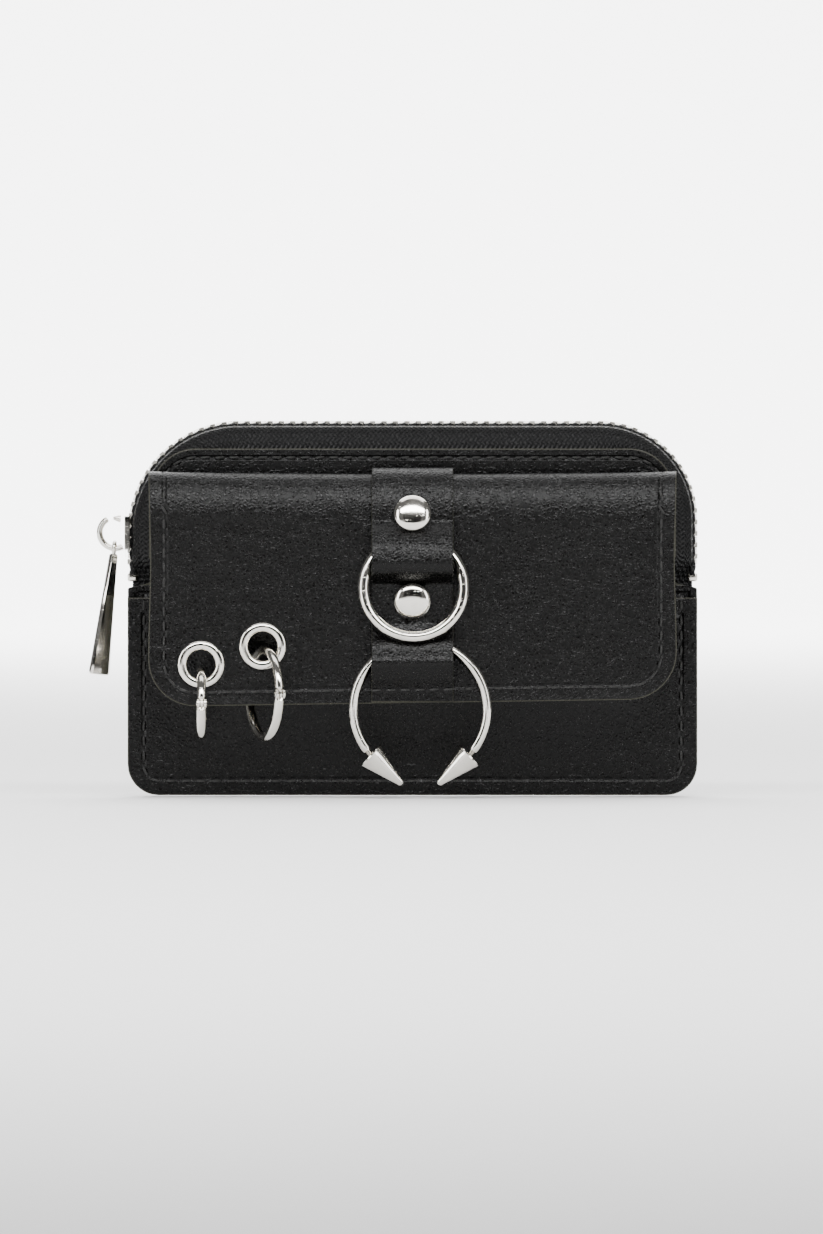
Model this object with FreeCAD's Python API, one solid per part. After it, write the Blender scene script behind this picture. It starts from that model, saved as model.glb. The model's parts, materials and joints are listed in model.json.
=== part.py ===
"""Small zip wallet with a front flap pocket, a riveted strap, and ring hardware that hangs from the flap.

Millimetres. X runs to the wearer's right, Y to the back and Z up. The origin is the middle of the
bottom seam, on the plane that the zip lies in. Each sub-part is written to parts/NODE.step.
"""

import FreeCAD, Part
import math
import os

V = FreeCAD.Vector

# ---- driving sizes ---------------------------------------------------------------------------
body_width = 120.0          # across the sewn sides
panel_height = 73.0         # top edge of the main leather panels
zip_end_z = 44.4            # the zip runs down each side to here
zip_top_z = 77.8            # neutral line of the zip along the top
zip_side_inset = 1.0        # neutral line of the zip, in from the sewn sides
zip_corner_left = 22.5      # radius of the zip's line round the left corner
zip_corner_right = 19.6     # and round the right one
upper_panel_inset = 5.0     # beside the zip the panels are this much narrower, each side
panel_top_radius = 9.4
panel_bottom_radius = 6.6
ear_radius = 1.0            # corners where the panel steps out to the sewn sides

leather = 1.2               # thickness of the outer leather
lining = 0.4                # thickness of the lining cloth
ply_gap = 0.1               # between sewn layers
seam_margin = 3.4           # from the edge to the stitch line
compartment_bulge = 4.6     # how far each main panel stands out from the seam
pocket_gape = 5.2           # how far the front pocket opens at its mouth
bulge_run_side = 24.0       # over this width the main panels swell up from the side seam
bulge_run_bottom = 40.0
bulge_opening = 3.3         # how quickly the sides open out above the end of the zip
pocket_run_side = 28.0
pocket_run_bottom = 44.0
pocket_belly = 2.6          # the pocket stays flat low down and opens towards its mouth
pocket_top_z = 41.6

flap_width = 110.8
flap_bottom_z = 19.7
flap_corner_radius = 10.0
flap_back_gap = 1.5         # between the full pocket and the flap's lining
flap_fold_top_z = 68.2      # crown of the rolled fold
flap_fold_rise = 10.0       # the roll curves over this height
flap_split_z = 65.0         # the roll's front below this swings with the flap
flap_leg_bottom_z = 50.0    # the leg behind the fold is sewn to the main panel down to here
flap_lining_thickness = 0.5

strap_width = 17.2
strap_thickness = 1.2
strap_bottom_z = 19.9

rivet_radius = 3.9
rivet_height = 1.7
rivet_post_radius = 1.3
rivet_back_radius = 3.2
rivet_back_height = 0.9
# (height, tilt in degrees) of each rivet: its cap leans with the strap where that rises beside it
rivets = [(59.4, 16.0), (41.0, -6.0)]

o_ring_mean_radius = 10.5
o_ring_wire = 2.4
o_ring_x = 0.25
o_ring_top_z = 54.3         # centre of the wire under the strap
o_ring_lean_deg = 10.0      # its foot rests on the strap, so it leans forward

horseshoe_mean_radius = 14.0
horseshoe_wire = 2.0
horseshoe_x = 1.6
horseshoe_top_z = 32.4
horseshoe_end_deg = 38.0    # how far below the horizontal the bar ends, each side
spike_length = 9.2
spike_radius = 3.05
spike_toe_in_deg = 9.0
spike_neck_length = 1.0
spike_neck_radius = 0.7
spike_tip_radius = 0.6

# how far the strap's back stands off the flap at each height, over the bar and over the ring
strap_rise = [(19.0, 0.0), (22.0, 0.0), (25.2, 2.3), (28.3, 4.0), (31.0, 2.9), (32.6, 2.2),
              (33.8, 1.2), (35.6, 0.3), (37.2, 0.0), (44.4, 0.0), (45.7, 1.8), (47.3, 3.9),
              (49.2, 4.6), (52.0, 4.1), (54.4, 2.9), (56.0, 1.7), (57.4, 0.3), (58.0, 0.0),
              (70.0, 0.0)]

eyelet_hole_radius = 3.0
eyelet_flange_radius = 5.0
eyelet_flange_height = 0.8
eyelet_barrel_wall = 0.35
eyelet_washer_thickness = 0.5
# name: (x and z of the eyelet, ring mean radius, ring centre y and z, swivel in degrees)
hoops = {
    "left": ((-44.3, 27.8), 6.65, (-15.9, 19.75), 2.0),
    "right": ((-31.4, 31.6), 9.05, (-16.8, 21.75), 21.0),
}
hoop_wire = 1.9
hoop_gate_wire = 2.1        # the opening half is a little thicker
hoop_knuckle_radius = 1.15
hoop_knuckle_length = 2.4
hoop_knuckle_gap = 0.15
hoop_pin_radius = 0.35
hoop_pin_clearance = 0.05

tooth_pitch = 2.4           # between teeth of one row
tooth_thickness = 1.0
tooth_height = 2.2
tooth_root = 1.45           # from the zip's middle to the tape
tooth_overlap = 0.7         # how far a tooth reaches past the middle
first_tooth_above_end = 3.4
pivot_teeth_above_end = 9.0  # rear teeth below this stay meshed when the mouth opens
tape_thickness = 0.5
tape_flat_to = 4.8          # the tape is flat out to here, then turns down to the panel
tape_tuck = 8.0             # how deep the tape reaches under the panel
tape_clearance = 0.45
tape_start = 3.2            # the tapes end this far above the end of the zip
tooth_grip = 0.15           # from a tooth's root to the tape

slider_length = 10.6
slider_half_width_wide = 4.2
slider_half_width_narrow = 3.3
slider_plate = 1.0
slider_inner_half_width = 3.3
slider_channel_out = 1.45   # from the neutral line to the outer plate
slider_channel_in = 1.95    # and to the inner plate, which has to clear the bend
slider_rail_depth = 1.0
bridge_radius = 3.3
bridge_offset = 1.2         # the bridge's middle stands this far off the plate
bridge_wire = 1.3
bridge_gap_deg = 30.0       # opening at the upper end of the bridge
pull_rest_deg = 4.0         # the eye hangs this far round the bridge from straight down
pull_lean_deg = 7.0         # the tab leans out this much
pull_eye_radius = 1.2
pull_eye_wire = 0.9
pull_length = 25.6
pull_width_top = 1.5
pull_width_bottom = 4.6
pull_thickness = 1.4
pull_turn_deg = 32.0        # turn of the tab about its own length

snap_z = 28.0
snap_radius = 4.8
snap_base = 0.9
snap_socket_thickness = 1.6
snap_socket_hole = 2.3
snap_post_radius = 1.4
snap_post_length = 2.4
snap_rivet_radius = 1.2
snap_clearance = 0.2

mouth_fold_height = 3.8     # strip of the back panel that folds when the mouth opens
stop_height = 1.8
touch = 0.05                # clearance between hard pieces that rest together

# ---- worked out from them -----------------------------------------------------------------------
half_width = body_width / 2
seam_outer = ply_gap / 2 + lining + ply_gap + leather       # outer face of a main panel at the seam
pocket_seam_outer = seam_outer + ply_gap + lining + ply_gap + leather
flap_inner_y = -(pocket_seam_outer + compartment_bulge + pocket_gape + flap_back_gap)
flap_leather_back_y = flap_inner_y - flap_lining_thickness - ply_gap
flap_front_y = flap_leather_back_y - leather
panel_front_y = -(seam_outer + compartment_bulge)
fold_back_y = panel_front_y - 2 * ply_gap
fold_half_depth = (fold_back_y - flap_front_y) / 2
fold_mid_y = (fold_back_y + flap_front_y) / 2
fold_centre_z = flap_fold_top_z - flap_fold_rise
zip_half_width = half_width - zip_side_inset
strap_back_y = flap_front_y - ply_gap
strap_front_y = strap_back_y - strap_thickness
o_ring_y = flap_front_y - o_ring_wire / 2 - touch
horseshoe_y = flap_front_y - horseshoe_wire / 2 - touch
horseshoe_z = horseshoe_top_z - horseshoe_mean_radius
o_ring_z = o_ring_top_z - o_ring_mean_radius
slider_z = zip_top_z - zip_corner_left
slider_arc_x = -zip_half_width + zip_corner_left
plate_x = -zip_half_width - slider_channel_out - slider_plate
bridge_x = plate_x - bridge_offset


# ---- shared geometry ----------------------------------------------------------------------------
def smooth(u):
    """0 at u <= 0, 1 at u >= 1, with level ends."""
    u = min(1.0, max(0.0, u))
    return u * u * (3 - 2 * u)


def main_bulge(x, z):
    """How far a main panel stands out from its seam at a point."""
    above_zip_end = max(0.0, z - zip_end_z)
    from_side = half_width - abs(x) - seam_margin + bulge_opening * above_zip_end
    share = smooth((z - seam_margin) / bulge_run_bottom) * smooth(from_side / bulge_run_side)
    return compartment_bulge * share


def pocket_bulge(x, z):
    """How far the front pocket stands out from its seam at a point, the panel behind included."""
    from_side = half_width - abs(x) - seam_margin
    share = smooth(z / pocket_run_bottom) ** pocket_belly * smooth(from_side / pocket_run_side)
    return main_bulge(x, z) + pocket_gape * share


def swollen_sheet(bulge, outer, thickness, front=True):
    """A slab that follows a bulged surface: outer is its outer face at the seam."""
    side = -1 if front else 1
    margin = 2.0
    across, up = 56, 36
    xs = [-half_width - margin + i * (body_width + 2 * margin) / across for i in range(across + 1)]
    zs = [-margin + i * (panel_height + 2 * margin) / up for i in range(up + 1)]
    grid = [[V(x, side * (outer + bulge(x, z)), z) for z in zs] for x in xs]
    surface = Part.BSplineSurface()
    surface.interpolate(grid)
    return surface.toShape().extrude(V(0, -side * thickness, 0))


def arc_to(centre, radius, start_deg, end_deg):
    """Edge of a circular arc in the XZ plane, angles from +X towards +Z."""
    def at(deg):
        a = math.radians(deg)
        return V(centre[0] + radius * math.cos(a), 0, centre[1] + radius * math.sin(a))
    return Part.Arc(at(start_deg), at((start_deg + end_deg) / 2), at(end_deg)).toShape()


def line(a, b):
    """Edge from a to b, each (x, z)."""
    return Part.LineSegment(V(a[0], 0, a[1]), V(b[0], 0, b[1])).toShape()


def outline_prism(edges):
    """A tall prism along Y over a closed outline in the XZ plane."""
    reach = 60.0
    wire = Part.Wire(Part.__sortEdges__(edges))
    wire.translate(V(0, -reach / 2, 0))
    return Part.Face(wire).extrude(V(0, reach, 0))


def rounded_outline(half, low, high, bottom_radius, top_radius):
    """Outline of a rectangle with its own corner radius at the bottom and at the top."""
    edges = [line((-half + bottom_radius, low), (half - bottom_radius, low)),
             line((half, low + bottom_radius), (half, high - top_radius)),
             line((-half, low + bottom_radius), (-half, high - top_radius)),
             line((-half + top_radius, high), (half - top_radius, high))]
    for side, first in ((1, 270), (-1, 180)):
        if bottom_radius:
            corner = (side * (half - bottom_radius), low + bottom_radius)
            edges.append(arc_to(corner, bottom_radius, first, first + 90))
    for side, first in ((1, 0), (-1, 90)):
        if top_radius:
            corner = (side * (half - top_radius), high - top_radius)
            edges.append(arc_to(corner, top_radius, first, first + 90))
    return edges


def panel_outline(inset=0.0):
    """The main panels: full width below the end of the zip, narrower beside it."""
    low = outline_prism(rounded_outline(half_width - inset, inset, zip_end_z - inset,
                                        panel_bottom_radius, ear_radius))
    tall = outline_prism(rounded_outline(half_width - upper_panel_inset - inset, inset,
                                         panel_height - inset, panel_bottom_radius,
                                         panel_top_radius))
    return low.fuse(tall).removeSplitter()


def slab_between(low, high):
    """A block that covers the whole wallet between two heights."""
    reach = 100.0
    return Part.makeBox(2 * reach, 2 * reach, high - low, V(-reach, -reach, low))


def disc(radius, y_front, y_back, x, z):
    """A cylinder along Y between two depths."""
    return Part.makeCylinder(radius, y_back - y_front, V(x, y_front, z), V(0, 1, 0))


def save(name, shape):
    """Checks a sub-part and writes its STEP file."""
    solids = shape.Solids
    if not solids or not all(s.isValid() and s.Volume > 0 for s in solids):
        raise ValueError("%s did not build into sound solids" % name)
    out = solids[0] if len(solids) == 1 else Part.makeCompound(solids)
    out.exportStep(os.path.join("parts", name + ".step"))
    print("%-24s %3d solids %10.1f mm3" % (name, len(solids), sum(s.Volume for s in solids)))


# ---- leather panels and linings -------------------------------------------------------------------
def main_panel(front):
    """Outer leather of one side of the zipped compartment."""
    sheet = swollen_sheet(main_bulge, seam_outer, leather, front)
    return sheet.common(panel_outline())


def main_lining(front):
    """Lining cloth of one side, ending where the zip tape is sewn to it."""
    sheet = swollen_sheet(main_bulge, ply_gap / 2 + lining, lining, front)
    margin = tape_tuck + tape_clearance
    low = outline_prism(rounded_outline(half_width - ear_radius, ear_radius, zip_end_z - ear_radius,
                                        panel_bottom_radius, ear_radius))
    tall = outline_prism(rounded_outline(zip_half_width - margin, ear_radius, zip_top_z - margin,
                                         panel_bottom_radius, zip_corner_left - tape_tuck))
    return sheet.common(low.fuse(tall).removeSplitter())


def seam_edge(y_front, y_back):
    """Filled edge between two panels, round the bottom and up both sides."""
    low = rounded_outline(half_width, 0, pocket_top_z, panel_bottom_radius, 0)
    inset = ear_radius - touch
    inside = rounded_outline(half_width - inset, inset, pocket_top_z + 5,
                             panel_bottom_radius - inset, 0)
    layer = Part.makeBox(body_width, y_back - y_front, pocket_top_z, V(-half_width, y_front, 0))
    return layer.common(outline_prism(low)).cut(outline_prism(inside))


def build_panels():
    """Front and back panels, the linings, and the fold that lets the back open."""
    save("front_panel", main_panel(front=True))
    save("front_lining", main_lining(front=True))
    save("seam_edges", Part.makeCompound([seam_edge(-ply_gap / 2 - lining, ply_gap / 2 + lining),
                                          seam_edge(-pocket_seam_outer + leather + touch,
                                                    -seam_outer - touch)]))
    back = main_panel(front=False)
    back_lining = main_lining(front=False)
    fold_top = zip_end_z + mouth_fold_height
    below = slab_between(-10, zip_end_z)
    fold = slab_between(zip_end_z, fold_top)
    above = slab_between(fold_top, 100)
    save("back_panel_lower", back.common(below))
    save("back_panel_fold", back.common(fold))
    save("back_panel_upper", back.common(above))
    save("back_lining_lower", back_lining.common(below))
    save("back_lining_upper", back_lining.common(above))


def build_pocket():
    """The front pocket under the flap, with its lining and the socket of the snap."""
    outline = outline_prism(rounded_outline(half_width, 0, pocket_top_z, panel_bottom_radius, 0))
    inner = outline_prism(rounded_outline(half_width - ear_radius, ear_radius,
                                          pocket_top_z - ear_radius, panel_bottom_radius, 0))
    panel = swollen_sheet(pocket_bulge, pocket_seam_outer, leather).common(outline)
    cloth = swollen_sheet(pocket_bulge, pocket_seam_outer - leather - ply_gap,
                          lining).common(inner)
    frame = snap_frame()
    hole = placed(Part.makeCylinder(snap_rivet_radius + touch, 12, V(0, 0, -6)), frame)
    save("pocket_panel", panel.cut(hole))
    save("pocket_lining", cloth.cut(hole))
    seat = snap_clearance
    through = leather + ply_gap + lining + 2 * snap_clearance
    socket = Part.makeCylinder(snap_radius, snap_socket_thickness, V(0, 0, seat))
    well = snap_base / 2
    socket = socket.cut(Part.makeCylinder(snap_socket_hole, snap_socket_thickness,
                                          V(0, 0, seat + well)))
    stem = Part.makeCylinder(snap_rivet_radius, seat + through, V(0, 0, -through))
    save("snap_socket", placed(socket.fuse(stem).removeSplitter(), frame))
    washer = Part.makeCylinder(snap_radius * 0.8, lining, V(0, 0, -through))
    washer = washer.cut(Part.makeCylinder(snap_rivet_radius + touch, 4, V(0, 0, -through - 2)))
    save("snap_socket_washer", placed(washer, frame))


def snap_frame():
    """Placement on the pocket's face at the snap, with local +Z pointing out of the leather."""
    step = 0.5
    depth = pocket_seam_outer + pocket_bulge(0, snap_z)
    ahead = pocket_seam_outer + pocket_bulge(0, snap_z + step)
    outward = V(0, -1, -(ahead - depth) / step)
    return FreeCAD.Placement(V(0, -depth, snap_z), FreeCAD.Rotation(V(0, 0, 1), outward))


def placed(shape, frame):
    """A copy of a shape, moved from the origin into a placement."""
    moved = shape.copy()
    moved.Placement = frame.multiply(moved.Placement)
    return moved


# ---- flap ----------------------------------------------------------------------------------------
def fold_point(deg, inset):
    """Point of the rolled fold. 0 is its front, 90 its crown and 180 its back; inset is how far in."""
    a = math.radians(deg)
    return (fold_mid_y - (fold_half_depth - inset) * math.cos(a),
            fold_centre_z + (flap_fold_rise - inset) * math.sin(a))


def fold_band(outer, inner, half, from_deg, to_deg):
    """The piece of the roll between two angles, outer and inner being insets from its face."""
    steps = 24
    degs = [from_deg + (to_deg - from_deg) * i / steps for i in range(steps + 1)]

    def rail(inset):
        curve = Part.BSplineCurve()
        curve.interpolate([V(-half, *fold_point(d, inset)) for d in degs])
        return curve.toShape()
    rails = [rail(outer), rail(inner)]
    ends = [Part.makeLine(V(-half, *fold_point(d, outer)), V(-half, *fold_point(d, inner)))
            for d in (from_deg, to_deg)]
    wire = Part.Wire(Part.__sortEdges__(rails + ends))
    return Part.Face(wire).extrude(V(2 * half, 0, 0))


def split_deg():
    """Angle round the roll at which the swinging flap ends and the fold begins."""
    return math.degrees(math.asin((flap_split_z - fold_centre_z) / flap_fold_rise))


def flap_holes():
    """Everything that pierces the flap: rivet stems and eyelet barrels."""
    holes = [disc(rivet_post_radius + touch, flap_front_y - 8, flap_inner_y + 4, 0, z)
             for z, _ in rivets]
    barrel = eyelet_hole_radius + eyelet_barrel_wall + touch
    holes += [disc(barrel, flap_front_y - 8, flap_inner_y + 4, spec[0][0], spec[0][1])
              for spec in hoops.values()]
    return Part.makeCompound(holes)


def build_flap():
    """The flap's leather and lining, the fold above it and the sewn leg behind."""
    half = flap_width / 2
    outline = outline_prism(rounded_outline(half, flap_bottom_z, flap_fold_top_z + 5,
                                            flap_corner_radius, 0))
    flat_height = fold_centre_z - flap_bottom_z
    sheet = Part.makeBox(flap_width, leather, flat_height, V(-half, flap_front_y, flap_bottom_z))
    roll = fold_band(0, leather, half, 0, split_deg())
    panel = sheet.fuse(roll).removeSplitter().common(outline).cut(flap_holes())
    save("flap_panel", panel)
    top = fold_centre_z
    cloth = Part.makeBox(flap_width - 2, flap_lining_thickness, top - flap_bottom_z - 1,
                         V(-half + 1, flap_inner_y - flap_lining_thickness, flap_bottom_z + 1))
    inner = outline_prism(rounded_outline(half - 1, flap_bottom_z + 1, top, flap_corner_radius, 0))
    stud_hole = disc(snap_rivet_radius + touch, flap_front_y, flap_inner_y + 1, 0, snap_z)
    save("flap_lining", cloth.common(inner).cut(flap_holes()).cut(stud_hole))
    save("flap_fold", fold_band(0, leather, half, split_deg(), 180))
    leg = Part.makeBox(flap_width, leather, fold_centre_z - flap_leg_bottom_z,
                       V(-half, fold_back_y - leather, flap_leg_bottom_z))
    save("flap_leg", leg)
    stud = disc(snap_radius, flap_inner_y + touch, flap_inner_y + touch + snap_base, 0, snap_z)
    stud = stud.fuse(disc(snap_rivet_radius, flap_inner_y - flap_lining_thickness,
                          flap_inner_y + 1, 0, snap_z))
    post_root = flap_inner_y + touch + snap_base
    stud = stud.fuse(disc(snap_post_radius, post_root - touch, post_root + snap_post_length, 0,
                          snap_z))
    save("snap_stud", stud.removeSplitter())


# ---- strap ---------------------------------------------------------------------------------------
def rise_slope(i):
    """Slope of the strap's rise at one of its points, level at every high and low."""
    if i == 0 or i == len(strap_rise) - 1:
        return 0.0
    (z0, h0), (z1, h1), (z2, h2) = strap_rise[i - 1:i + 2]
    before, after = (h1 - h0) / (z1 - z0), (h2 - h1) / (z2 - z1)
    if before * after <= 0:
        return 0.0
    return 2 * before * after / (before + after)


def strap_lift(z):
    """How far the strap's back stands off the flap at a height, over the ring and over the bar."""
    i = max(k for k in range(len(strap_rise) - 1) if strap_rise[k][0] <= z)
    (z0, h0), (z1, h1) = strap_rise[i:i + 2]
    span = z1 - z0
    u = (z - z0) / span
    start, end = rise_slope(i) * span, rise_slope(i + 1) * span
    return (h0 * (2 * u ** 3 - 3 * u ** 2 + 1) + start * (u ** 3 - 2 * u ** 2 + u)
            + h1 * (3 * u ** 2 - 2 * u ** 3) + end * (u ** 3 - u ** 2))


def strap_rail(offset):
    """Points of the strap's face, offset out from the flap, from its foot to the split in the roll."""
    steps = 90
    high = fold_centre_z
    points = []
    for i in range(steps):
        z = strap_bottom_z + (high - strap_bottom_z) * i / steps
        points.append(V(0, strap_back_y - offset - strap_lift(z), z))
    bends = 10
    return points + [V(0, *fold_point(split_deg() * i / bends, -ply_gap - offset))
                     for i in range(bends + 1)]


def build_strap():
    """The strap: over the roll of the fold, under both rivets, and over the ring and the bar."""
    half = strap_width / 2
    rails = [strap_rail(0), strap_rail(strap_thickness)]
    edges = []
    for rail in rails:
        curve = Part.BSplineCurve()
        curve.interpolate(rail)
        edges.append(curve.toShape())
    edges += [Part.makeLine(rails[0][k], rails[1][k]) for k in (0, -1)]
    front = Part.Face(Part.Wire(Part.__sortEdges__(edges)))
    front.translate(V(-half, 0, 0))
    front = front.extrude(V(strap_width, 0, 0))
    holes = [disc(rivet_post_radius + touch, flap_front_y - 12, flap_inner_y + 4, 0, z)
             for z, _ in rivets]
    for hole in holes:
        front = front.cut(hole)
    save("strap", front)
    outer = -ply_gap - strap_thickness
    save("strap_fold", fold_band(outer, -ply_gap, half, split_deg(), 128))


def rivet_cap():
    """A domed cap with its back at the origin, facing -Y."""
    edge = 0.45
    rise = rivet_height - edge
    dome_radius = (rivet_radius ** 2 + rise ** 2) / (2 * rise)
    dome = Part.makeSphere(dome_radius, V(0, dome_radius - rivet_height, 0))
    dome = dome.common(disc(rivet_radius, -rivet_height, -edge, 0, 0))
    return dome.fuse(disc(rivet_radius, -edge, 0, 0, 0))


def build_rivets():
    """Two domed rivets: cap and stem in front, a flat back cap inside the flap."""
    caps = []
    backs = []
    for z, tilt in rivets:
        seat = strap_front_y - rivet_radius * math.tan(math.radians(abs(tilt))) - touch
        cap = rivet_cap()
        cap.rotate(V(0, 0, 0), V(1, 0, 0), -tilt)
        cap.translate(V(0, seat, z))
        stem = disc(rivet_post_radius, seat - rivet_height / 3,
                    flap_inner_y + rivet_back_height / 2, 0, z)
        caps.append(cap.fuse(stem))
        back = disc(rivet_back_radius, flap_inner_y + touch, flap_inner_y + rivet_back_height, 0, z)
        well = disc(rivet_post_radius + touch, flap_inner_y, flap_inner_y + rivet_back_height / 2
                    + touch, 0, z)
        backs.append(back.cut(well))
    save("rivet_caps", Part.makeCompound(caps))
    save("rivet_backs", Part.makeCompound(backs))


# ---- rings on the strap ----------------------------------------------------------------------------
def torus_arc(mean_radius, wire, start_deg, end_deg, centre):
    """A round bar bent in the XZ plane about a centre, angles from +X towards +Z."""
    a = math.radians(start_deg)
    section = Part.makeCircle(wire / 2, V(mean_radius * math.cos(a), 0, mean_radius * math.sin(a)),
                              V(-math.sin(a), 0, math.cos(a)))
    bar = Part.Face(Part.Wire(section)).revolve(V(0, 0, 0), V(0, -1, 0), end_deg - start_deg)
    bar.translate(V(*centre))
    return bar


def build_o_ring():
    """The plain ring whose top lies under the strap and whose foot rests on it."""
    ring = Part.makeTorus(o_ring_mean_radius, o_ring_wire / 2, V(o_ring_x, o_ring_y, o_ring_z),
                          V(0, 1, 0))
    ring.rotate(V(o_ring_x, o_ring_y, o_ring_top_z), V(1, 0, 0), -o_ring_lean_deg)
    save("o_ring", ring)


def build_horseshoe():
    """The open bar with a screwed spike on each end."""
    centre = (horseshoe_x, horseshoe_y, horseshoe_z)
    bar = torus_arc(horseshoe_mean_radius, horseshoe_wire, -horseshoe_end_deg,
                    180 + horseshoe_end_deg, centre)
    for side in (1, -1):
        a = math.radians(horseshoe_end_deg)
        radial = V(side * math.cos(a), 0, -math.sin(a))
        along = V(-side * math.sin(a), 0, -math.cos(a))
        root = V(*centre) + radial * horseshoe_mean_radius
        neck = Part.makeCylinder(spike_neck_radius, 2 * spike_neck_length,
                                 root - along * spike_neck_length * 0.5, along)
        bar = bar.fuse(neck)
        turn = FreeCAD.Rotation(V(0, 1, 0), side * spike_toe_in_deg)
        axis = turn.multVec(along)
        base = root + along * (spike_neck_length + touch)
        cone = Part.makeCone(spike_radius, spike_tip_radius, spike_length, base, axis)
        tip = [e for e in cone.Edges if abs(e.Length - 2 * math.pi * spike_tip_radius) < 1e-3]
        cone = cone.makeFillet(spike_tip_radius * 0.7, tip)
        socket = Part.makeCylinder(spike_neck_radius + touch, 2 * spike_neck_length,
                                   base - along * spike_neck_length, along)
        save("spike_right" if side > 0 else "spike_left", cone.cut(socket))
    save("horseshoe_bar", bar.removeSplitter())


# ---- eyelets and hoops -----------------------------------------------------------------------------
def build_eyelet(name, x, z):
    """A two-part eyelet: flange and barrel from the front, washer on the flap's lining."""
    outer = eyelet_hole_radius + eyelet_barrel_wall
    seat = flap_front_y - touch
    back = flap_inner_y + touch + eyelet_washer_thickness
    flange = disc(eyelet_flange_radius, seat - eyelet_flange_height, seat, x, z)
    rim = [e for e in flange.Edges if abs(e.BoundBox.YMax - (seat - eyelet_flange_height)) < 1e-6]
    flange = flange.makeFillet(eyelet_flange_height * 0.75, rim)
    body = flange.fuse(disc(outer, seat - eyelet_flange_height / 2, back, x, z))
    bore = disc(eyelet_hole_radius, seat - 5, back + 5, x, z)
    save("eyelet_%s" % name, body.cut(bore).removeSplitter())
    washer = disc(eyelet_flange_radius, flap_inner_y + touch, back, x, z)
    save("eyelet_washer_%s" % name, washer.cut(disc(outer + touch, back - 5, back + 5, x, z)))


def build_hoop(name, radius, y, z, x, swivel):
    """A hinged ring through an eyelet and round the flap's edge, built flat and then turned."""
    turn = FreeCAD.Placement(V(x, y, z), FreeCAD.Rotation(V(0, 0, 1), 90 + swivel))
    knuckle = V(-radius, 0, 0)
    half_gap = math.degrees(hoop_knuckle_gap / radius)
    upper = torus_arc(radius, hoop_wire, half_gap, 180, (0, 0, 0))
    gate = torus_arc(radius, hoop_gate_wire, -180, -half_gap, (0, 0, 0))
    length = hoop_knuckle_length / 3 - hoop_knuckle_gap

    def barrel(low):
        return Part.makeCylinder(hoop_knuckle_radius, length, knuckle + V(0, low, 0), V(0, 1, 0))

    def clearing(low, high):
        return Part.makeCylinder(hoop_knuckle_radius + hoop_knuckle_gap, high - low,
                                 knuckle + V(0, low, 0), V(0, 1, 0))
    hub = length / 2
    side_low = hub + hoop_knuckle_gap
    bore = Part.makeCylinder(hoop_pin_radius + hoop_pin_clearance, 6, knuckle - V(0, 3, 0),
                             V(0, 1, 0))
    upper = upper.cut(clearing(-3, 3)).fuse(barrel(-hub))
    web = Part.makeBox(hoop_knuckle_radius * 0.9, length, hoop_knuckle_radius + 0.5,
                       knuckle + V(-hoop_knuckle_radius * 0.45, -hub, 0.3))
    upper = upper.fuse(web).cut(bore)
    gate = gate.cut(clearing(-3, 3)).fuse(barrel(side_low)).fuse(barrel(-side_low - length))
    for low in (side_low, -side_low - length):
        web = Part.makeBox(hoop_knuckle_radius * 0.9, length, hoop_knuckle_radius + 0.5,
                           knuckle + V(-hoop_knuckle_radius * 0.45, low,
                                       -hoop_knuckle_radius - 0.8))
        gate = gate.fuse(web)
    gate = gate.cut(bore)
    pin = Part.makeCylinder(hoop_pin_radius, 2 * (side_low + length),
                            knuckle - V(0, side_low + length, 0), V(0, 1, 0))
    save("hoop_%s_upper" % name, placed(upper.removeSplitter(), turn))
    save("hoop_%s_gate" % name, placed(gate.removeSplitter(), turn))
    save("hoop_%s_pin" % name, placed(pin, turn))


def build_hoops():
    """Both eyelets with the hoops that hang in them."""
    for name, ((x, hole_z), radius, (y, z), swivel) in hoops.items():
        build_eyelet(name, x, hole_z)
        ahead = (flap_front_y + flap_inner_y) / 2 - y
        build_hoop(name, radius, y, z, x + ahead * math.tan(math.radians(swivel)), swivel)


# ---- zip -------------------------------------------------------------------------------------------
def zip_stretches():
    """The zip's line as stretches: (length, function of the distance along it)."""
    low, top, half = zip_end_z, zip_top_z, zip_half_width

    def straight(x, z, dx, dz):
        return lambda s: ((x + dx * s, z + dz * s), (dx, dz))

    def bend(cx, cz, radius, start_deg):
        def at(s):
            a = math.radians(start_deg) - s / radius
            return ((cx + radius * math.cos(a), cz + radius * math.sin(a)),
                    (math.sin(a), -math.cos(a)))
        return at
    left, right = zip_corner_left, zip_corner_right
    return [(top - left - low, straight(-half, low, 0, 1)),
            (left * math.pi / 2, bend(-half + left, top - left, left, 180)),
            (2 * half - left - right, straight(-half + left, top, 1, 0)),
            (right * math.pi / 2, bend(half - right, top - right, right, 90)),
            (top - right - low, straight(half, top - right, 0, -1))]


def zip_at(s):
    """Point, direction and outward normal of the zip's line at a distance from its left end."""
    for length, at in zip_stretches():
        if s <= length + 1e-9:
            break
        s -= length
    (x, z), (dx, dz) = at(min(s, length))
    return V(x, 0, z), V(dx, 0, dz), V(-dz, 0, dx)


def zip_length():
    """Length of the zip's line from end to end."""
    return sum(length for length, _ in zip_stretches())


def tooth(s, side):
    """One tooth of a row: side is -1 for the front row and 1 for the back one."""
    point, along, out = zip_at(s)
    half = tooth_height / 2
    profile = [(-tooth_overlap, half * 0.55), (0.2, half), (tooth_root, half), (tooth_root, -half),
               (0.2, -half), (-tooth_overlap, -half * 0.55)]
    start = point - along * (tooth_thickness / 2)
    corners = [start + V(0, side * y, 0) + out * n for y, n in profile]
    return Part.Face(Part.makePolygon(corners + [corners[0]])).extrude(along * tooth_thickness)


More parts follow.
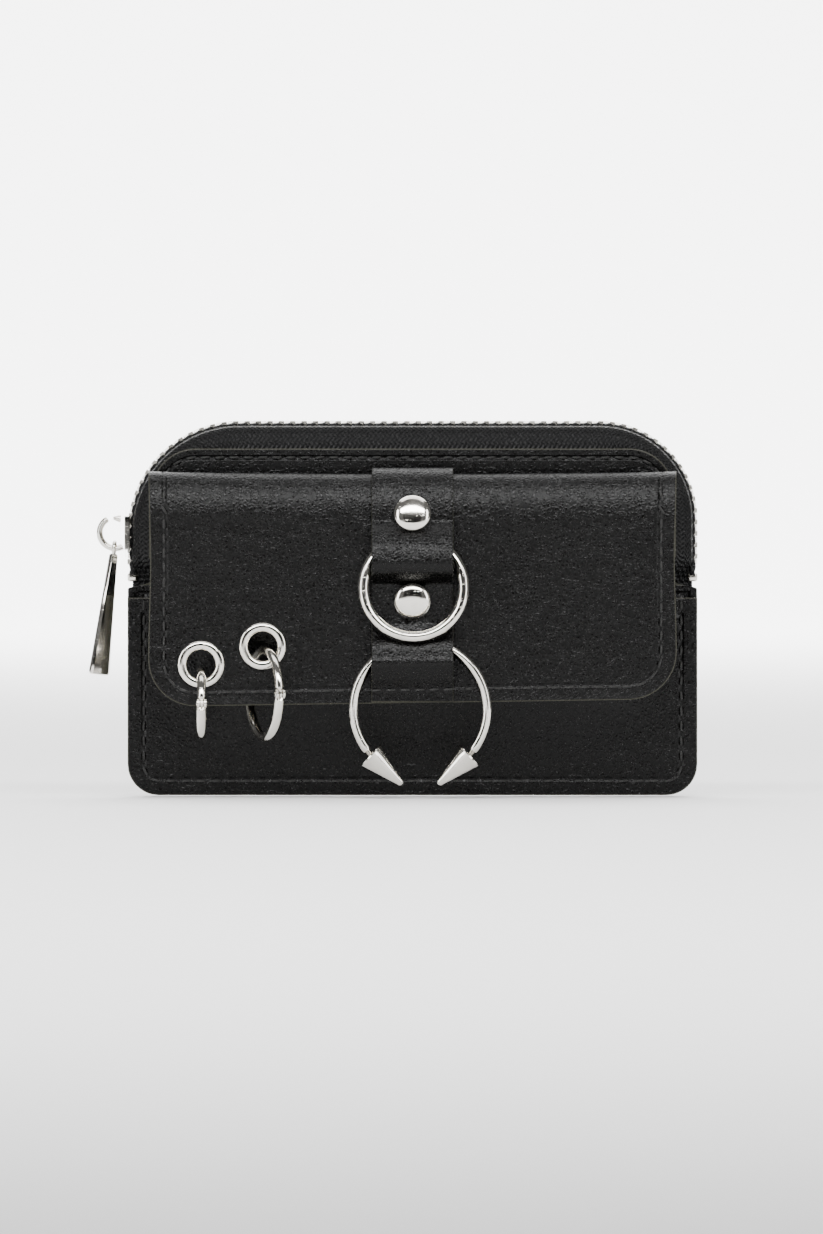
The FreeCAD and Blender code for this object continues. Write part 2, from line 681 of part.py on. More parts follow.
def teeth_rows():
    """All teeth as (height of the tooth, side, solid); the rows are half a pitch apart."""
    usable = zip_length() - 2 * first_tooth_above_end
    count = int(usable / tooth_pitch)
    start = first_tooth_above_end + (usable - (count - 0.5) * tooth_pitch) / 2
    made = []
    for i in range(count):
        for side, shift in ((-1, 0), (1, tooth_pitch / 2)):
            s = start + i * tooth_pitch + shift
            made.append((zip_at(s)[0].z, side, tooth(s, side)))
    return made


def panel_inside(point):
    """Distance from the zip's plane to the inside of a main panel, less the tape's clearance."""
    inner = seam_outer - leather + main_bulge(point.x, point.z)
    return inner - tape_clearance


def tape_section(s):
    """Points of the tape's outer face across one station, as (distance out in Y, depth in)."""
    point, _, out = zip_at(s)

    def inside(depth):
        return panel_inside(point - out * depth)
    flat = min(tape_flat_to, inside(4.0) - 0.4)
    start = tooth_root + tooth_grip
    flat = max(flat, start + 1.2)
    return [(start, 0.0), ((start + flat) / 2, 0.0), (flat, 0.25),
            ((flat + inside(2.0)) / 2, 1.5), (inside(4.0), 4.0), (inside(6.0), 6.0),
            (inside(tape_tuck), tape_tuck)]


def tape(s_from, s_to, side):
    """A tape between two distances along the zip's line, drawn through its sections."""
    stations = 72
    sections = []
    for i in range(stations + 1):
        s = s_from + (s_to - s_from) * i / stations
        point, _, out = zip_at(s)
        section = tape_section(s)
        outer, inner = [], []
        for j, (y, depth) in enumerate(section):
            before, after = section[max(0, j - 1)], section[min(len(section) - 1, j + 1)]
            dy, dn = after[0] - before[0], after[1] - before[1]
            size = math.hypot(dy, dn)
            shift = (y - dn / size * tape_thickness, depth + dy / size * tape_thickness)
            for row, (a, b) in ((outer, (y, depth)), (inner, shift)):
                row.append(point + V(0, side * a, 0) - out * b)
        sections.append(Part.makePolygon(outer + inner[::-1] + [outer[0]]))
    return Part.makeLoft(sections, True, True)


def build_zip():
    """Both tapes, both rows of teeth and the stops at the ends."""
    end = zip_length()
    save("front_tape", tape(tape_start, end - tape_start, -1))
    rear_start = mouth_fold_height + touch
    save("back_tape", tape(rear_start, end - rear_start, 1))
    rows = teeth_rows()
    pivot_z = zip_end_z + pivot_teeth_above_end
    save("front_teeth", Part.makeCompound([t for _, side, t in rows if side < 0]))
    save("back_teeth", Part.makeCompound([t for z, side, t in rows if side > 0 and z > pivot_z]))
    save("pivot_teeth", Part.makeCompound([t for z, side, t in rows if side > 0 and z <= pivot_z]))
    for name, x in (("left", -zip_half_width), ("right", zip_half_width)):
        block = Part.makeBox(tooth_height, 2 * tooth_root, stop_height,
                             V(x - tooth_height / 2, -tooth_root, zip_end_z + 0.6))
        save("zip_stop_%s" % name, block.makeChamfer(0.3, block.Edges))


# ---- slider and pull --------------------------------------------------------------------------------
def slider_outline(wide, narrow, x_from, x_to):
    """A plate of the slider across X: wide at its lower end and narrow at its upper end."""
    half = slider_length / 2
    round_off = 1.2
    points = [(-wide + round_off, -half), (-wide, -half + round_off), (-wide, -half * 0.2),
              (-narrow, half * 0.35), (-narrow, half - round_off), (-narrow + round_off, half)]
    corners = [V(x_from, y, slider_z + z) for y, z in points]
    corners += [V(x_from, -y, slider_z + z) for y, z in reversed(points)]
    face = Part.Face(Part.makePolygon(corners + [corners[0]]))
    return face.extrude(V(x_to - x_from, 0, 0))


def build_slider():
    """Slider of the zip: outer plate with its rail and bridge, and inner plate."""
    under = -zip_half_width - slider_channel_out
    top = slider_outline(slider_half_width_wide, slider_half_width_narrow, plate_x, under)
    shell = slider_outline(slider_half_width_wide, slider_half_width_narrow, under,
                           under + slider_rail_depth)
    hollow = slider_outline(slider_half_width_wide - 0.8, slider_half_width_narrow - 0.5,
                            under - 1, under + 3)
    rail = shell.cut(hollow).common(Part.makeBox(20, 10, slider_length * 0.7,
                                                 V(under - 5, -10, slider_z - slider_length * 0.35)))
    top = top.fuse(rail)
    foot_deg = math.degrees(math.asin(bridge_offset / bridge_radius))
    bridge = torus_arc(bridge_radius, bridge_wire, 90 + bridge_gap_deg, 270 + foot_deg + 4,
                       (bridge_x, 0, slider_z))
    save("slider_plate", top.fuse(bridge).removeSplitter())
    pin = Part.makeCone(0.75, 0.3, 1.6, V(plate_x - 2 * touch, 0, slider_z + bridge_radius - 0.4),
                        V(-1, 0, 0.1))
    save("slider_lock_pin", pin)
    inner_x = -zip_half_width + slider_channel_in
    inner = slider_outline(slider_inner_half_width, slider_inner_half_width - 0.6, inner_x,
                           inner_x + slider_plate * 0.9)
    save("slider_inner_plate", inner)


def build_pull():
    """The pull: an eye round the bridge and a tapered tab."""
    a = math.radians(pull_rest_deg)
    eye_centre = V(bridge_x - bridge_radius * math.sin(a), 0, slider_z - bridge_radius * math.cos(a))
    bridge_line = V(math.cos(a), 0, -math.sin(a))
    eye = Part.makeTorus(pull_eye_radius, pull_eye_wire / 2, eye_centre, bridge_line)
    lean = math.radians(pull_lean_deg)
    down = V(-math.sin(lean), 0, -math.cos(lean))
    root = eye_centre + down * (pull_eye_radius + pull_eye_wire * 0.1)
    half_t = pull_thickness / 2
    corners = [V(-pull_width_top / 2, -half_t, 0), V(pull_width_top / 2, -half_t, 0),
               V(pull_width_bottom / 2, -half_t, -pull_length),
               V(-pull_width_bottom / 2, -half_t, -pull_length)]
    tab = Part.Face(Part.makePolygon(corners + [corners[0]])).extrude(V(0, pull_thickness, 0))
    tab = tab.makeChamfer(0.3, tab.Edges)
    tab.rotate(V(0, 0, 0), V(0, 0, 1), pull_turn_deg)
    tab.rotate(V(0, 0, 0), V(0, 1, 0), pull_lean_deg)
    tab.translate(root)
    hole = Part.makeCylinder(bridge_wire / 2 + 0.15, 4, eye_centre - bridge_line * 2, bridge_line)
    save("pull_tab", tab.fuse(eye).removeSplitter().cut(hole))


def main():
    """Builds every sub-part."""
    os.makedirs("parts", exist_ok=True)
    build_panels()
    build_pocket()
    build_flap()
    build_strap()
    build_rivets()
    build_o_ring()
    build_horseshoe()
    build_hoops()
    build_zip()
    build_slider()
    build_pull()


main()
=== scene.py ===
"""Looks of a small black leather zip wallet with a flap, a riveted strap and ring hardware.

Every size is in millimetres in the dataclass fields and becomes metres where a mesh is made.
"""

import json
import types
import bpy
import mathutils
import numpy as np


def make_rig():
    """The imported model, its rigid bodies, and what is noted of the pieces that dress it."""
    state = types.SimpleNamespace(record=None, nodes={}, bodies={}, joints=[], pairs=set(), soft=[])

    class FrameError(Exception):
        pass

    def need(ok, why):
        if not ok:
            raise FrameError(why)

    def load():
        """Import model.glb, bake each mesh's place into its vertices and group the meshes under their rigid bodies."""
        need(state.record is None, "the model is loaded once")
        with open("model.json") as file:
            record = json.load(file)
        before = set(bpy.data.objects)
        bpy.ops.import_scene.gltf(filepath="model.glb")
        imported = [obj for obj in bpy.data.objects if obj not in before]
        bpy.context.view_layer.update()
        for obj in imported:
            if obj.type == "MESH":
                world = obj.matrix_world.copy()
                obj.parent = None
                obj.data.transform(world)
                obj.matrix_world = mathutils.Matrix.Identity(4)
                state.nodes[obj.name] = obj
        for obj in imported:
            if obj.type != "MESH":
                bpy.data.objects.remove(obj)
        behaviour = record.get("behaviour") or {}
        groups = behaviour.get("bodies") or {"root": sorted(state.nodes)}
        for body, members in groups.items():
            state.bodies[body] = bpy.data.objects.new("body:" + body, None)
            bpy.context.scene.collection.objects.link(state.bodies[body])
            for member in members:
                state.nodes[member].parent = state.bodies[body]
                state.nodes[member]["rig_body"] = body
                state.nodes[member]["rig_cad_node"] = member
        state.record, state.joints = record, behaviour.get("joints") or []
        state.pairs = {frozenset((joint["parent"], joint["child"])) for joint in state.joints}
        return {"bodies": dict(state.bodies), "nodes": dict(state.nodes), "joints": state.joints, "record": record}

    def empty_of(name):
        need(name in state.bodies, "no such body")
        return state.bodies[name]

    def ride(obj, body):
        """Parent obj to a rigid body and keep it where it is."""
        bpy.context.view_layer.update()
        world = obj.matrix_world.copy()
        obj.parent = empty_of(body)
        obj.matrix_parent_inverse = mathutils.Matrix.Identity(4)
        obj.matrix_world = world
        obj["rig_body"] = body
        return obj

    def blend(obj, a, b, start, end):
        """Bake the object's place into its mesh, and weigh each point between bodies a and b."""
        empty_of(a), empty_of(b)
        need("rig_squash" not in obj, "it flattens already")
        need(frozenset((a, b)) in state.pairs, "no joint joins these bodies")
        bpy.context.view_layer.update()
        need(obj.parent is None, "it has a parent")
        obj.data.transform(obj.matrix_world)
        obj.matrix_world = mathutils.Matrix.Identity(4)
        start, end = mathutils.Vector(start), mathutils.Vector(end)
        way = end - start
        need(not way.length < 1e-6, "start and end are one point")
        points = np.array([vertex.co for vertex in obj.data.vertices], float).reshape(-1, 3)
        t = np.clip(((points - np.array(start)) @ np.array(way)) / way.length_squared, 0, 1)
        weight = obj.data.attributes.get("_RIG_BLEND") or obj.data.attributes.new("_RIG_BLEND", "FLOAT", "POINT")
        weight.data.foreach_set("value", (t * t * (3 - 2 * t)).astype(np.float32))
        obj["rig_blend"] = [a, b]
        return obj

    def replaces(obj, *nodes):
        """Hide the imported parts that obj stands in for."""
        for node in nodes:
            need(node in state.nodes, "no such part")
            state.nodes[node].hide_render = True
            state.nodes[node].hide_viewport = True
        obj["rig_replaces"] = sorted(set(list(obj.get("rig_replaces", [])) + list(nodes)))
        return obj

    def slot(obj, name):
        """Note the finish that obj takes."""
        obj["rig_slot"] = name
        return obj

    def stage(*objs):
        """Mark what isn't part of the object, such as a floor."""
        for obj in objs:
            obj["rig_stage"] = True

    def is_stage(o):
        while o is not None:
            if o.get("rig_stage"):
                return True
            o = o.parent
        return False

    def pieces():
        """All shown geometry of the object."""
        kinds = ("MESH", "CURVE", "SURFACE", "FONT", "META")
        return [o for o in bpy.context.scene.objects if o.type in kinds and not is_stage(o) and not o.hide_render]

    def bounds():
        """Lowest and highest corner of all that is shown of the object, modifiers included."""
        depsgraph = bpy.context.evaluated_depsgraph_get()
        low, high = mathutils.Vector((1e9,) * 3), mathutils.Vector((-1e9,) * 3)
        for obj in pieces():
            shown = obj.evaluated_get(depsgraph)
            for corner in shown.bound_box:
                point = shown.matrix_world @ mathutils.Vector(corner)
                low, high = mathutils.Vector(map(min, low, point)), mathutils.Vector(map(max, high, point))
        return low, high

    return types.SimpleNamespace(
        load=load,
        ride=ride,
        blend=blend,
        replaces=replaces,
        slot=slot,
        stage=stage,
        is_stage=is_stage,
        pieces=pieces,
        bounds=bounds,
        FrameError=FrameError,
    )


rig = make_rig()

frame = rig.load()
CAD_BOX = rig.bounds()

import json
import logging
import math
import random
from dataclasses import dataclass, field
from enum import Enum
from typing import Callable, Iterable, Optional, Union

import bmesh
import bpy
from mathutils import Matrix, Vector

log = logging.getLogger("wallet")
MM = 0.001
Point = tuple[float, float, float]
Number = Union[int, float]


class Facing(Enum):
    """Which way a panel's good side looks."""

    FRONT = -1
    BACK = 1


# ---- small maths ---------------------------------------------------------------------------------


def smooth(u: float) -> float:
    """0 below 0, 1 above 1, with level ends."""
    u = min(1.0, max(0.0, u))
    return u * u * (3 - 2 * u)


def lerp(a: float, b: float, t: float) -> float:
    """The value a share t of the way from a to b."""
    return a + (b - a) * t


def through(points: list[tuple[float, float]], at: float) -> float:
    """Smooth curve through points, level at its highs and lows.

    Args:
        points: (place, value) pairs in rising order of place.
        at: place to read.

    Returns:
        The curve's value there.
    """
    if at <= points[0][0]:
        return points[0][1]
    if at >= points[-1][0]:
        return points[-1][1]

    def slope(i: int) -> float:
        """Slope at a point, zero where the curve turns round."""
        if i in (0, len(points) - 1):
            return 0.0
        (x0, y0), (x1, y1), (x2, y2) = points[i - 1 : i + 2]
        a, b = (y1 - y0) / (x1 - x0), (y2 - y1) / (x2 - x1)
        return 0.0 if a * b <= 0 else 2 * a * b / (a + b)

    i = max(k for k in range(len(points) - 1) if points[k][0] <= at)
    (x0, y0), (x1, y1) = points[i : i + 2]
    span = x1 - x0
    t = (at - x0) / span
    return (
        y0 * (2 * t**3 - 3 * t**2 + 1)
        + slope(i) * span * (t**3 - 2 * t**2 + t)
        + y1 * (3 * t**2 - 2 * t**3)
        + slope(i + 1) * span * (t**3 - t**2)
    )


def wave(x: float, z: float, seed: float) -> float:
    """A slow, smooth unevenness between about -1 and 1, in millimetres of place."""
    a = math.sin(x * 0.083 + seed) * math.cos(z * 0.061 + seed * 1.7)
    b = math.sin(x * 0.037 - z * 0.119 + seed * 2.3)
    c = math.sin(x * 0.171 + z * 0.147 - seed * 0.6)
    return 0.45 * a + 0.4 * b + 0.15 * c


def rounded_depth(x: float, z: float, half: float, low: float, high: float,
                  foot: float, head: float) -> float:
    """How far inside a rounded rectangle a point lies.

    Args:
        x: place across, from the middle.
        z: height.
        half: half the rectangle's width.
        low: its lower edge.
        high: its upper edge.
        foot: radius of its lower corners.
        head: radius of its upper corners.

    Returns:
        The distance to the nearest edge, below zero outside.
    """
    radius = foot if z < (low + high) / 2 else head
    dx = abs(x) - (half - radius)
    dz = max(low + radius - z, z - (high - radius))
    if dx > 0 and dz > 0:
        return radius - math.hypot(dx, dz)
    return radius - max(dx, dz)


# ---- modelling tools -----------------------------------------------------------------------------


def settle() -> None:
    """Leaves edit mode and deselects everything."""
    if bpy.context.object and bpy.context.object.mode != "OBJECT":
        bpy.ops.object.mode_set(mode="OBJECT")
    bpy.ops.object.select_all(action="DESELECT")


def take(piece: bpy.types.Object) -> bpy.types.Object:
    """Makes a piece the only selected and the active one."""
    settle()
    piece.select_set(True)
    bpy.context.view_layer.objects.active = piece
    return piece


def added(name: str) -> bpy.types.Object:
    """The primitive just added, named, with its place in its mesh."""
    piece = bpy.context.object
    piece.name = name
    piece.data.name = name
    bpy.ops.object.transform_apply(location=True, rotation=True, scale=True)
    return piece


def finish_with(piece: bpy.types.Object, kind: str, **settings: object) -> bpy.types.Object:
    """Adds a modifier to a piece and applies it.

    Args:
        piece: the mesh piece.
        kind: the modifier's type.
        **settings: its settings by name.

    Returns:
        The same piece.
    """
    take(piece)
    modifier = piece.modifiers.new(kind.title(), kind)
    for key, value in settings.items():
        setattr(modifier, key, value)
    bpy.ops.object.modifier_apply(modifier=modifier.name)
    return piece


def softened(piece: bpy.types.Object, width: float, segments: int = 2,
             angle: float = 40.0) -> bpy.types.Object:
    """Rounds a piece's sharp edges by a width in millimetres and shades it smooth."""
    finish_with(piece, "BEVEL", width=width * MM, segments=segments, limit_method="ANGLE",
                angle_limit=math.radians(angle), use_clamp_overlap=True)
    return shaded(piece)


def shaded(piece: bpy.types.Object, angle: float = 40.0) -> bpy.types.Object:
    """Shades a piece smooth except at edges sharper than an angle in degrees."""
    take(piece)
    bpy.ops.object.shade_smooth_by_angle(angle=math.radians(angle))
    return piece


def outwards(piece: bpy.types.Object) -> bpy.types.Object:
    """Merges a closed piece's doubled points and turns its faces outwards."""
    take(piece)
    bpy.ops.object.mode_set(mode="EDIT")
    bpy.ops.mesh.select_all(action="SELECT")
    bpy.ops.mesh.remove_doubles(threshold=1e-6)
    bpy.ops.mesh.normals_make_consistent(inside=False)
    bpy.ops.object.mode_set(mode="OBJECT")
    return piece


def cut_sheet(name: str, columns: list[float], rows: list[float],
              place: Callable[[float, float], Point], thickness: float,
              edge: float = 0.25) -> bpy.types.Object:
    """A sheet of leather or cloth, cut flat and laid on a curved surface.

    Args:
        name: the piece's name.
        columns: places across the flat sheet, in rising order.
        rows: places along it.
        place: the point, in millimetres, that a flat place goes to. Its good side is on the
            left of a step along the rows seen from a step across.
        thickness: thickness of the sheet, which goes to the back of its good side.
        edge: rounding of the cut edges.

    Returns:
        The piece, with the flat places in metres as its UV map.
    """
    settle()
    across, along = len(columns) - 1, len(rows) - 1
    bpy.ops.mesh.primitive_grid_add(x_subdivisions=across, y_subdivisions=along, size=2.0)
    piece = added(name)
    mesh = piece.data
    flat = [(0.0, 0.0)] * len(mesh.vertices)
    for v in mesh.vertices:
        i = round((v.co.x + 1) / 2 * across)
        j = round((v.co.y + 1) / 2 * along)
        flat[v.index] = (columns[i], rows[j])
        v.co = Vector(place(columns[i], rows[j])) * MM
    uv = mesh.uv_layers.active or mesh.uv_layers.new(name="Cut")
    for loop in mesh.loops:
        x, y = flat[loop.vertex_index]
        uv.data[loop.index].uv = (x * MM, y * MM)
    mesh.update()
    finish_with(piece, "SOLIDIFY", thickness=thickness * MM, offset=-1.0, use_rim=True)
    if edge:
        finish_with(piece, "BEVEL", width=edge * MM, segments=2, limit_method="ANGLE",
                    angle_limit=math.radians(50), use_clamp_overlap=True)
    return shaded(piece, 50)


def spaced(low: float, high: float, fine: float, coarse: float, margin: float) -> list[float]:
    """Places from low to high, close together within a margin of both ends.

    Args:
        low: first place.
        high: last place.
        fine: step near the ends.
        coarse: largest step.
        margin: how far from the ends the fine steps run.

    Returns:
        The places.
    """
    places = [low]
    while places[-1] < high:
        near = min(places[-1] - low, high - places[-1])
        step = lerp(fine, coarse, smooth((near - margin * 0.5) / margin))
        places.append(places[-1] + step)
    scale = (high - low) / (places[-1] - low)
    return [low + (p - low) * scale for p in places]


def ring_points(centre: Vector, across: Vector, up: Vector, radius: float,
                count: int) -> list[Vector]:
    """Points of a circle.

    Args:
        centre: its centre.
        across: unit direction of its first point.
        up: unit direction a quarter turn on.
        radius: its radius.
        count: how many points.

    Returns:
        The points, in order round it.
    """
    turn = 2 * math.pi / count
    return [centre + (across * math.cos(turn * k) + up * math.sin(turn * k)) * radius
            for k in range(count)]


def loft(name: str, rings: list[list[Vector]], closed: bool = False) -> bpy.types.Object:
    """A skin drawn through rings of points by extruding the first one from ring to ring.

    Args:
        name: the piece's name.
        rings: rings of the same number of points, in millimetres.
        closed: whether the last ring joins the first, or both ends are filled.

    Returns:
        The closed piece.
    """
    settle()
    count = len(rings[0])
    bpy.ops.mesh.primitive_circle_add(vertices=count, radius=1.0)
    piece = added(name)
    for v, p in zip(piece.data.vertices, rings[0]):
        v.co = p * MM
    bpy.ops.object.mode_set(mode="EDIT")
    bpy.ops.mesh.select_all(action="SELECT")
    for ring in rings[1:]:
        bpy.ops.mesh.extrude_region_move()
        net = bmesh.from_edit_mesh(piece.data)
        fresh = [v for v in net.verts if v.select]
        fresh.sort(key=lambda v: v.index)
        for v, p in zip(fresh, ring):
            v.co = p * MM
        bmesh.update_edit_mesh(piece.data)
    if closed:
        bpy.ops.mesh.select_all(action="SELECT")
        bpy.ops.mesh.remove_doubles(threshold=1e-7)
    else:
        bpy.ops.mesh.edge_face_add()
        net = bmesh.from_edit_mesh(piece.data)
        for v in net.verts:
            v.select = v.index < count
        net.select_flush_mode()
        bmesh.update_edit_mesh(piece.data)
        bpy.ops.mesh.select_all(action="DESELECT")
        bpy.ops.mesh.select_mode(type="EDGE")
        bpy.ops.mesh.select_non_manifold()
        if any(e.select for e in bmesh.from_edit_mesh(piece.data).edges):
            bpy.ops.mesh.edge_face_add()
    bpy.ops.object.mode_set(mode="OBJECT")
    outwards(piece)
    return shaded(piece)


def wire(name: str, path: list[Vector], radius: Union[float, list[float]], count: int = 18,
         closed: bool = False) -> bpy.types.Object:
    """A round bar along a path.

    Args:
        name: the piece's name.
        path: the points of its middle, in millimetres.
        radius: its radius, or one for each point.
        count: points round it.
        closed: whether the path returns to its first point.

    Returns:
        The piece.
    """
    radii = radius if isinstance(radius, list) else [radius] * len(path)
    rings: list[list[Vector]] = []
    side: Optional[Vector] = None
    last = len(path) - 1
    for i, p in enumerate(path):
        if closed:
            ahead = path[(i + 1) % last] - path[(i - 1) % last]
        else:
            ahead = path[min(i + 1, last)] - path[max(i - 1, 0)]
        ahead.normalize()
        if side is None:
            side = ahead.orthogonal().normalized()
        side = (side - ahead * side.dot(ahead)).normalized()
        rings.append(ring_points(p, side, ahead.cross(side), radii[i], count))
    if closed:
        rings[-1] = list(rings[0])
    return loft(name, rings, closed)


def turned(name: str, profile: list[tuple[float, float]], centre: Vector, axis: Vector,
           count: int = 48, hollow: bool = False) -> bpy.types.Object:
    """A piece turned on a lathe.

    Args:
        name: the piece's name.
        profile: (distance along the axis, radius) pairs along the piece's outline.
        centre: the point that distance 0 is at.
        axis: direction of the axis.
        count: points round it.
        hollow: whether the outline closes on itself round a hole.

    Returns:
        The piece.
    """
    along = axis.normalized()
    side = along.orthogonal().normalized()
    up = along.cross(side)
    rings = [ring_points(centre + along * d, side, up, max(r, 0.002), count) for d, r in profile]
    if hollow:
        rings.append(list(rings[0]))
    return loft(name, rings, closed=hollow)


def joined(name: str, pieces: Iterable[bpy.types.Object]) -> bpy.types.Object:
    """Joins pieces into the first and gives it a name."""
    group = list(pieces)
    settle()
    for piece in group:
        piece.select_set(True)
    bpy.context.view_layer.objects.active = group[0]
    if len(group) > 1:
        bpy.ops.object.join()
    group[0].name = name
    group[0].data.name = name
    return group[0]


def copied(master: bpy.types.Object, place: Matrix) -> bpy.types.Object:
    """A copy of a piece with its own mesh, moved from the origin to a place."""
    twin = master.copy()
    twin.data = master.data.copy()
    twin.data.transform(place)
    bpy.context.scene.collection.objects.link(twin)
    return twin


def facing(place: Vector, along: Vector, out: Vector) -> Matrix:
    """The place of a copy: its X runs along, its Z points out, and its origin is at a point."""
    x = along.normalized()
    z = (out - x * out.dot(x)).normalized()
    y = z.cross(x)
    turn = Matrix((x, y, z)).transposed().to_4x4()
    return Matrix.Translation(place * MM) @ turn


def wear(piece: bpy.types.Object, name: str, amount: Callable[[Vector], float]) -> None:
    """Stores a number for every point of a piece, worked out from the point in millimetres."""
    layer = piece.data.attributes.new(name, "FLOAT", "POINT")
    for v in piece.data.vertices:
        layer.data[v.index].value = amount(v.co / MM)


def laid_flat(piece: bpy.types.Object,
              place: Callable[[Vector, Vector], tuple[float, float]]) -> None:
    """Lays a piece's flat map anew.

    Args:
        piece: the piece.
        place: the place on the map, from a point and its old place on the map, in metres.
    """
    layers = piece.data.uv_layers
    layer = layers.active or layers.new(name="Cut")
    for loop in piece.data.loops:
        corner = layer.data[loop.index]
        corner.uv = place(piece.data.vertices[loop.vertex_index].co, corner.uv.copy())


# ---- finishes ------------------------------------------------------------------------------------


class Flow:
    """A value that changes over a surface, on which Python's operators work."""

    def __init__(self, recipe: "Recipe", socket: bpy.types.NodeSocket) -> None:
        """Keeps the recipe it belongs to and the socket it comes from."""
        self.recipe = recipe
        self.socket = socket

    def _with(self, operation: str, *others: Union["Flow", Number]) -> "Flow":
        """Adds a Math node with this value first."""
        values = {i + 1: other for i, other in enumerate(others)}
        return self.recipe.node("ShaderNodeMath", {"operation": operation}, {0: self, **values})

    def __add__(self, other: Union["Flow", Number]) -> "Flow":
        """Sum."""
        return self._with("ADD", other)

    __radd__ = __add__

    def __mul__(self, other: Union["Flow", Number]) -> "Flow":
        """Product."""
        return self._with("MULTIPLY", other)

    __rmul__ = __mul__

    def __sub__(self, other: Union["Flow", Number]) -> "Flow":
        """Difference."""
        return self._with("SUBTRACT", other)

    def __rsub__(self, other: Number) -> "Flow":
        """Difference from a number."""
        return self.recipe.node("ShaderNodeMath", {"operation": "SUBTRACT"}, {0: other, 1: self})

    def wave(self) -> "Flow":
        """Sine of the value."""
        return self._with("SINE")

    def size(self) -> "Flow":
        """The value without its sign."""
        return self._with("ABSOLUTE")

    def between(self, low: float, high: float) -> "Flow":
        """0 below low, 1 above high, and smooth from one to the other."""
        settings = {"interpolation_type": "SMOOTHSTEP"}
        values = {"Value": self, "From Min": low, "From Max": high}
        return self.recipe.node("ShaderNodeMapRange", settings, values)


class Recipe:
    """Node tree of one finish, with its principled shader."""

    def __init__(self, name: str, **constants: object) -> None:
        """Starts a finish.

        Args:
            name: the material's name.
            **constants: what is the same all over, by the shader's socket name with _ for space.
        """
        self.material = bpy.data.materials.new(name)
        self.material.use_nodes = True
        self.tree = self.material.node_tree
        self.shader = self.tree.nodes["Principled BSDF"]
        for key, value in constants.items():
            self.shader.inputs[key.replace("_", " ")].default_value = value

    def node(self, kind: str, settings: dict[str, object],
             values: dict[Union[str, int], object], out: Union[str, int] = 0) -> Flow:
        """Adds any node.

        Args:
            kind: the node's type.
            settings: its own settings by name.
            values: numbers, colours or flows for its sockets.
            out: which of its outputs to hand on.

        Returns:
            The output.
        """
        made = self.tree.nodes.new(kind)
        for key, value in settings.items():
            setattr(made, key, value)
        for key, value in values.items():
            if isinstance(value, Flow):
                self.tree.links.new(value.socket, made.inputs[key])
            else:
                made.inputs[key].default_value = value
        return Flow(self, made.outputs[out])

    def place(self) -> Flow:
        """Place in the object's own metres."""
        return self.node("ShaderNodeTexCoord", {}, {}, "Object")

    def cut(self) -> Flow:
        """Place on the flat sheet that the piece was cut from, in metres."""
        return self.node("ShaderNodeTexCoord", {}, {}, "UV")

    def stored(self, name: str) -> Flow:
        """A number stored in the piece's points."""
        return self.node("ShaderNodeAttribute", {"attribute_name": name}, {}, "Fac")

    def noise(self, where: Flow, scale: float, detail: float = 3.0, rough: float = 0.55) -> Flow:
        """Cloudy noise, from 0 to 1."""
        values = {"Vector": where, "Scale": scale, "Detail": detail, "Roughness": rough}
        return self.node("ShaderNodeTexNoise", {}, values)

    def cells(self, where: Flow, scale: float) -> Flow:
        """Distance from the edges of a grain's cells."""
        values = {"Vector": where, "Scale": scale, "Randomness": 0.95}
        return self.node("ShaderNodeTexVoronoi", {"feature": "DISTANCE_TO_EDGE"}, values)

    def mix(self, share: Union[Flow, Number], a: object, b: object) -> Flow:
        """Colour between a and b."""
        made = self.tree.nodes.new("ShaderNodeMix")
        made.data_type = "RGBA"
        for key, value in ((0, share), (6, a), (7, b)):
            if isinstance(value, Flow):
                self.tree.links.new(value.socket, made.inputs[key])
            elif isinstance(value, tuple):
                made.inputs[key].default_value = (*value, 1.0)
            else:
                made.inputs[key].default_value = value
        return Flow(self, made.outputs[2])

    def shifted(self, where: Flow, by: Flow, amount: float) -> Flow:
        """A place moved by a colour noise, so that a pattern isn't regular."""
        moved = self.node("ShaderNodeVectorMath", {"operation": "SCALE"},
                          {0: by, "Scale": amount})
        return self.node("ShaderNodeVectorMath", {"operation": "ADD"}, {0: where, 1: moved})

    def part(self, where: Flow, axis: str) -> Flow:
        """One coordinate of a place."""
        return self.node("ShaderNodeSeparateXYZ", {}, {0: where}, axis)

    def relief(self, height: Flow, distance: float, strength: float = 1.0) -> None:
        """Raises the surface by a height times a distance in metres."""
        bump = self.node("ShaderNodeBump", {},
                         {"Height": height, "Distance": distance, "Strength": strength})
        self.feed("Normal", bump)

    def feed(self, socket: str, flow: Flow) -> None:
        """Links a flow to one of the shader's sockets."""
        self.tree.links.new(flow.socket, self.shader.inputs[socket])


def dress(piece: bpy.types.Object, finish: bpy.types.Material, slot: str) -> bpy.types.Object:
    """Gives a piece its finish and names the slot it belongs to."""
    piece.data.materials.clear()
    piece.data.materials.append(finish)
    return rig.slot(piece, slot)


def mounted(piece: bpy.types.Object, finish: bpy.types.Material, slot: str, body: str,
            *nodes: str) -> bpy.types.Object:
    """Dresses a piece and lets it ride on a body.

    Args:
        piece: the piece.
        finish: its finish.
        slot: the slot that its finish belongs to.
        body: the body it moves with.
        *nodes: the frame nodes that it stands for.

    Returns:
        The same piece.
    """
    dress(piece, finish, slot)
    if nodes:
        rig.replaces(piece, *nodes)
    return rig.ride(piece, body)


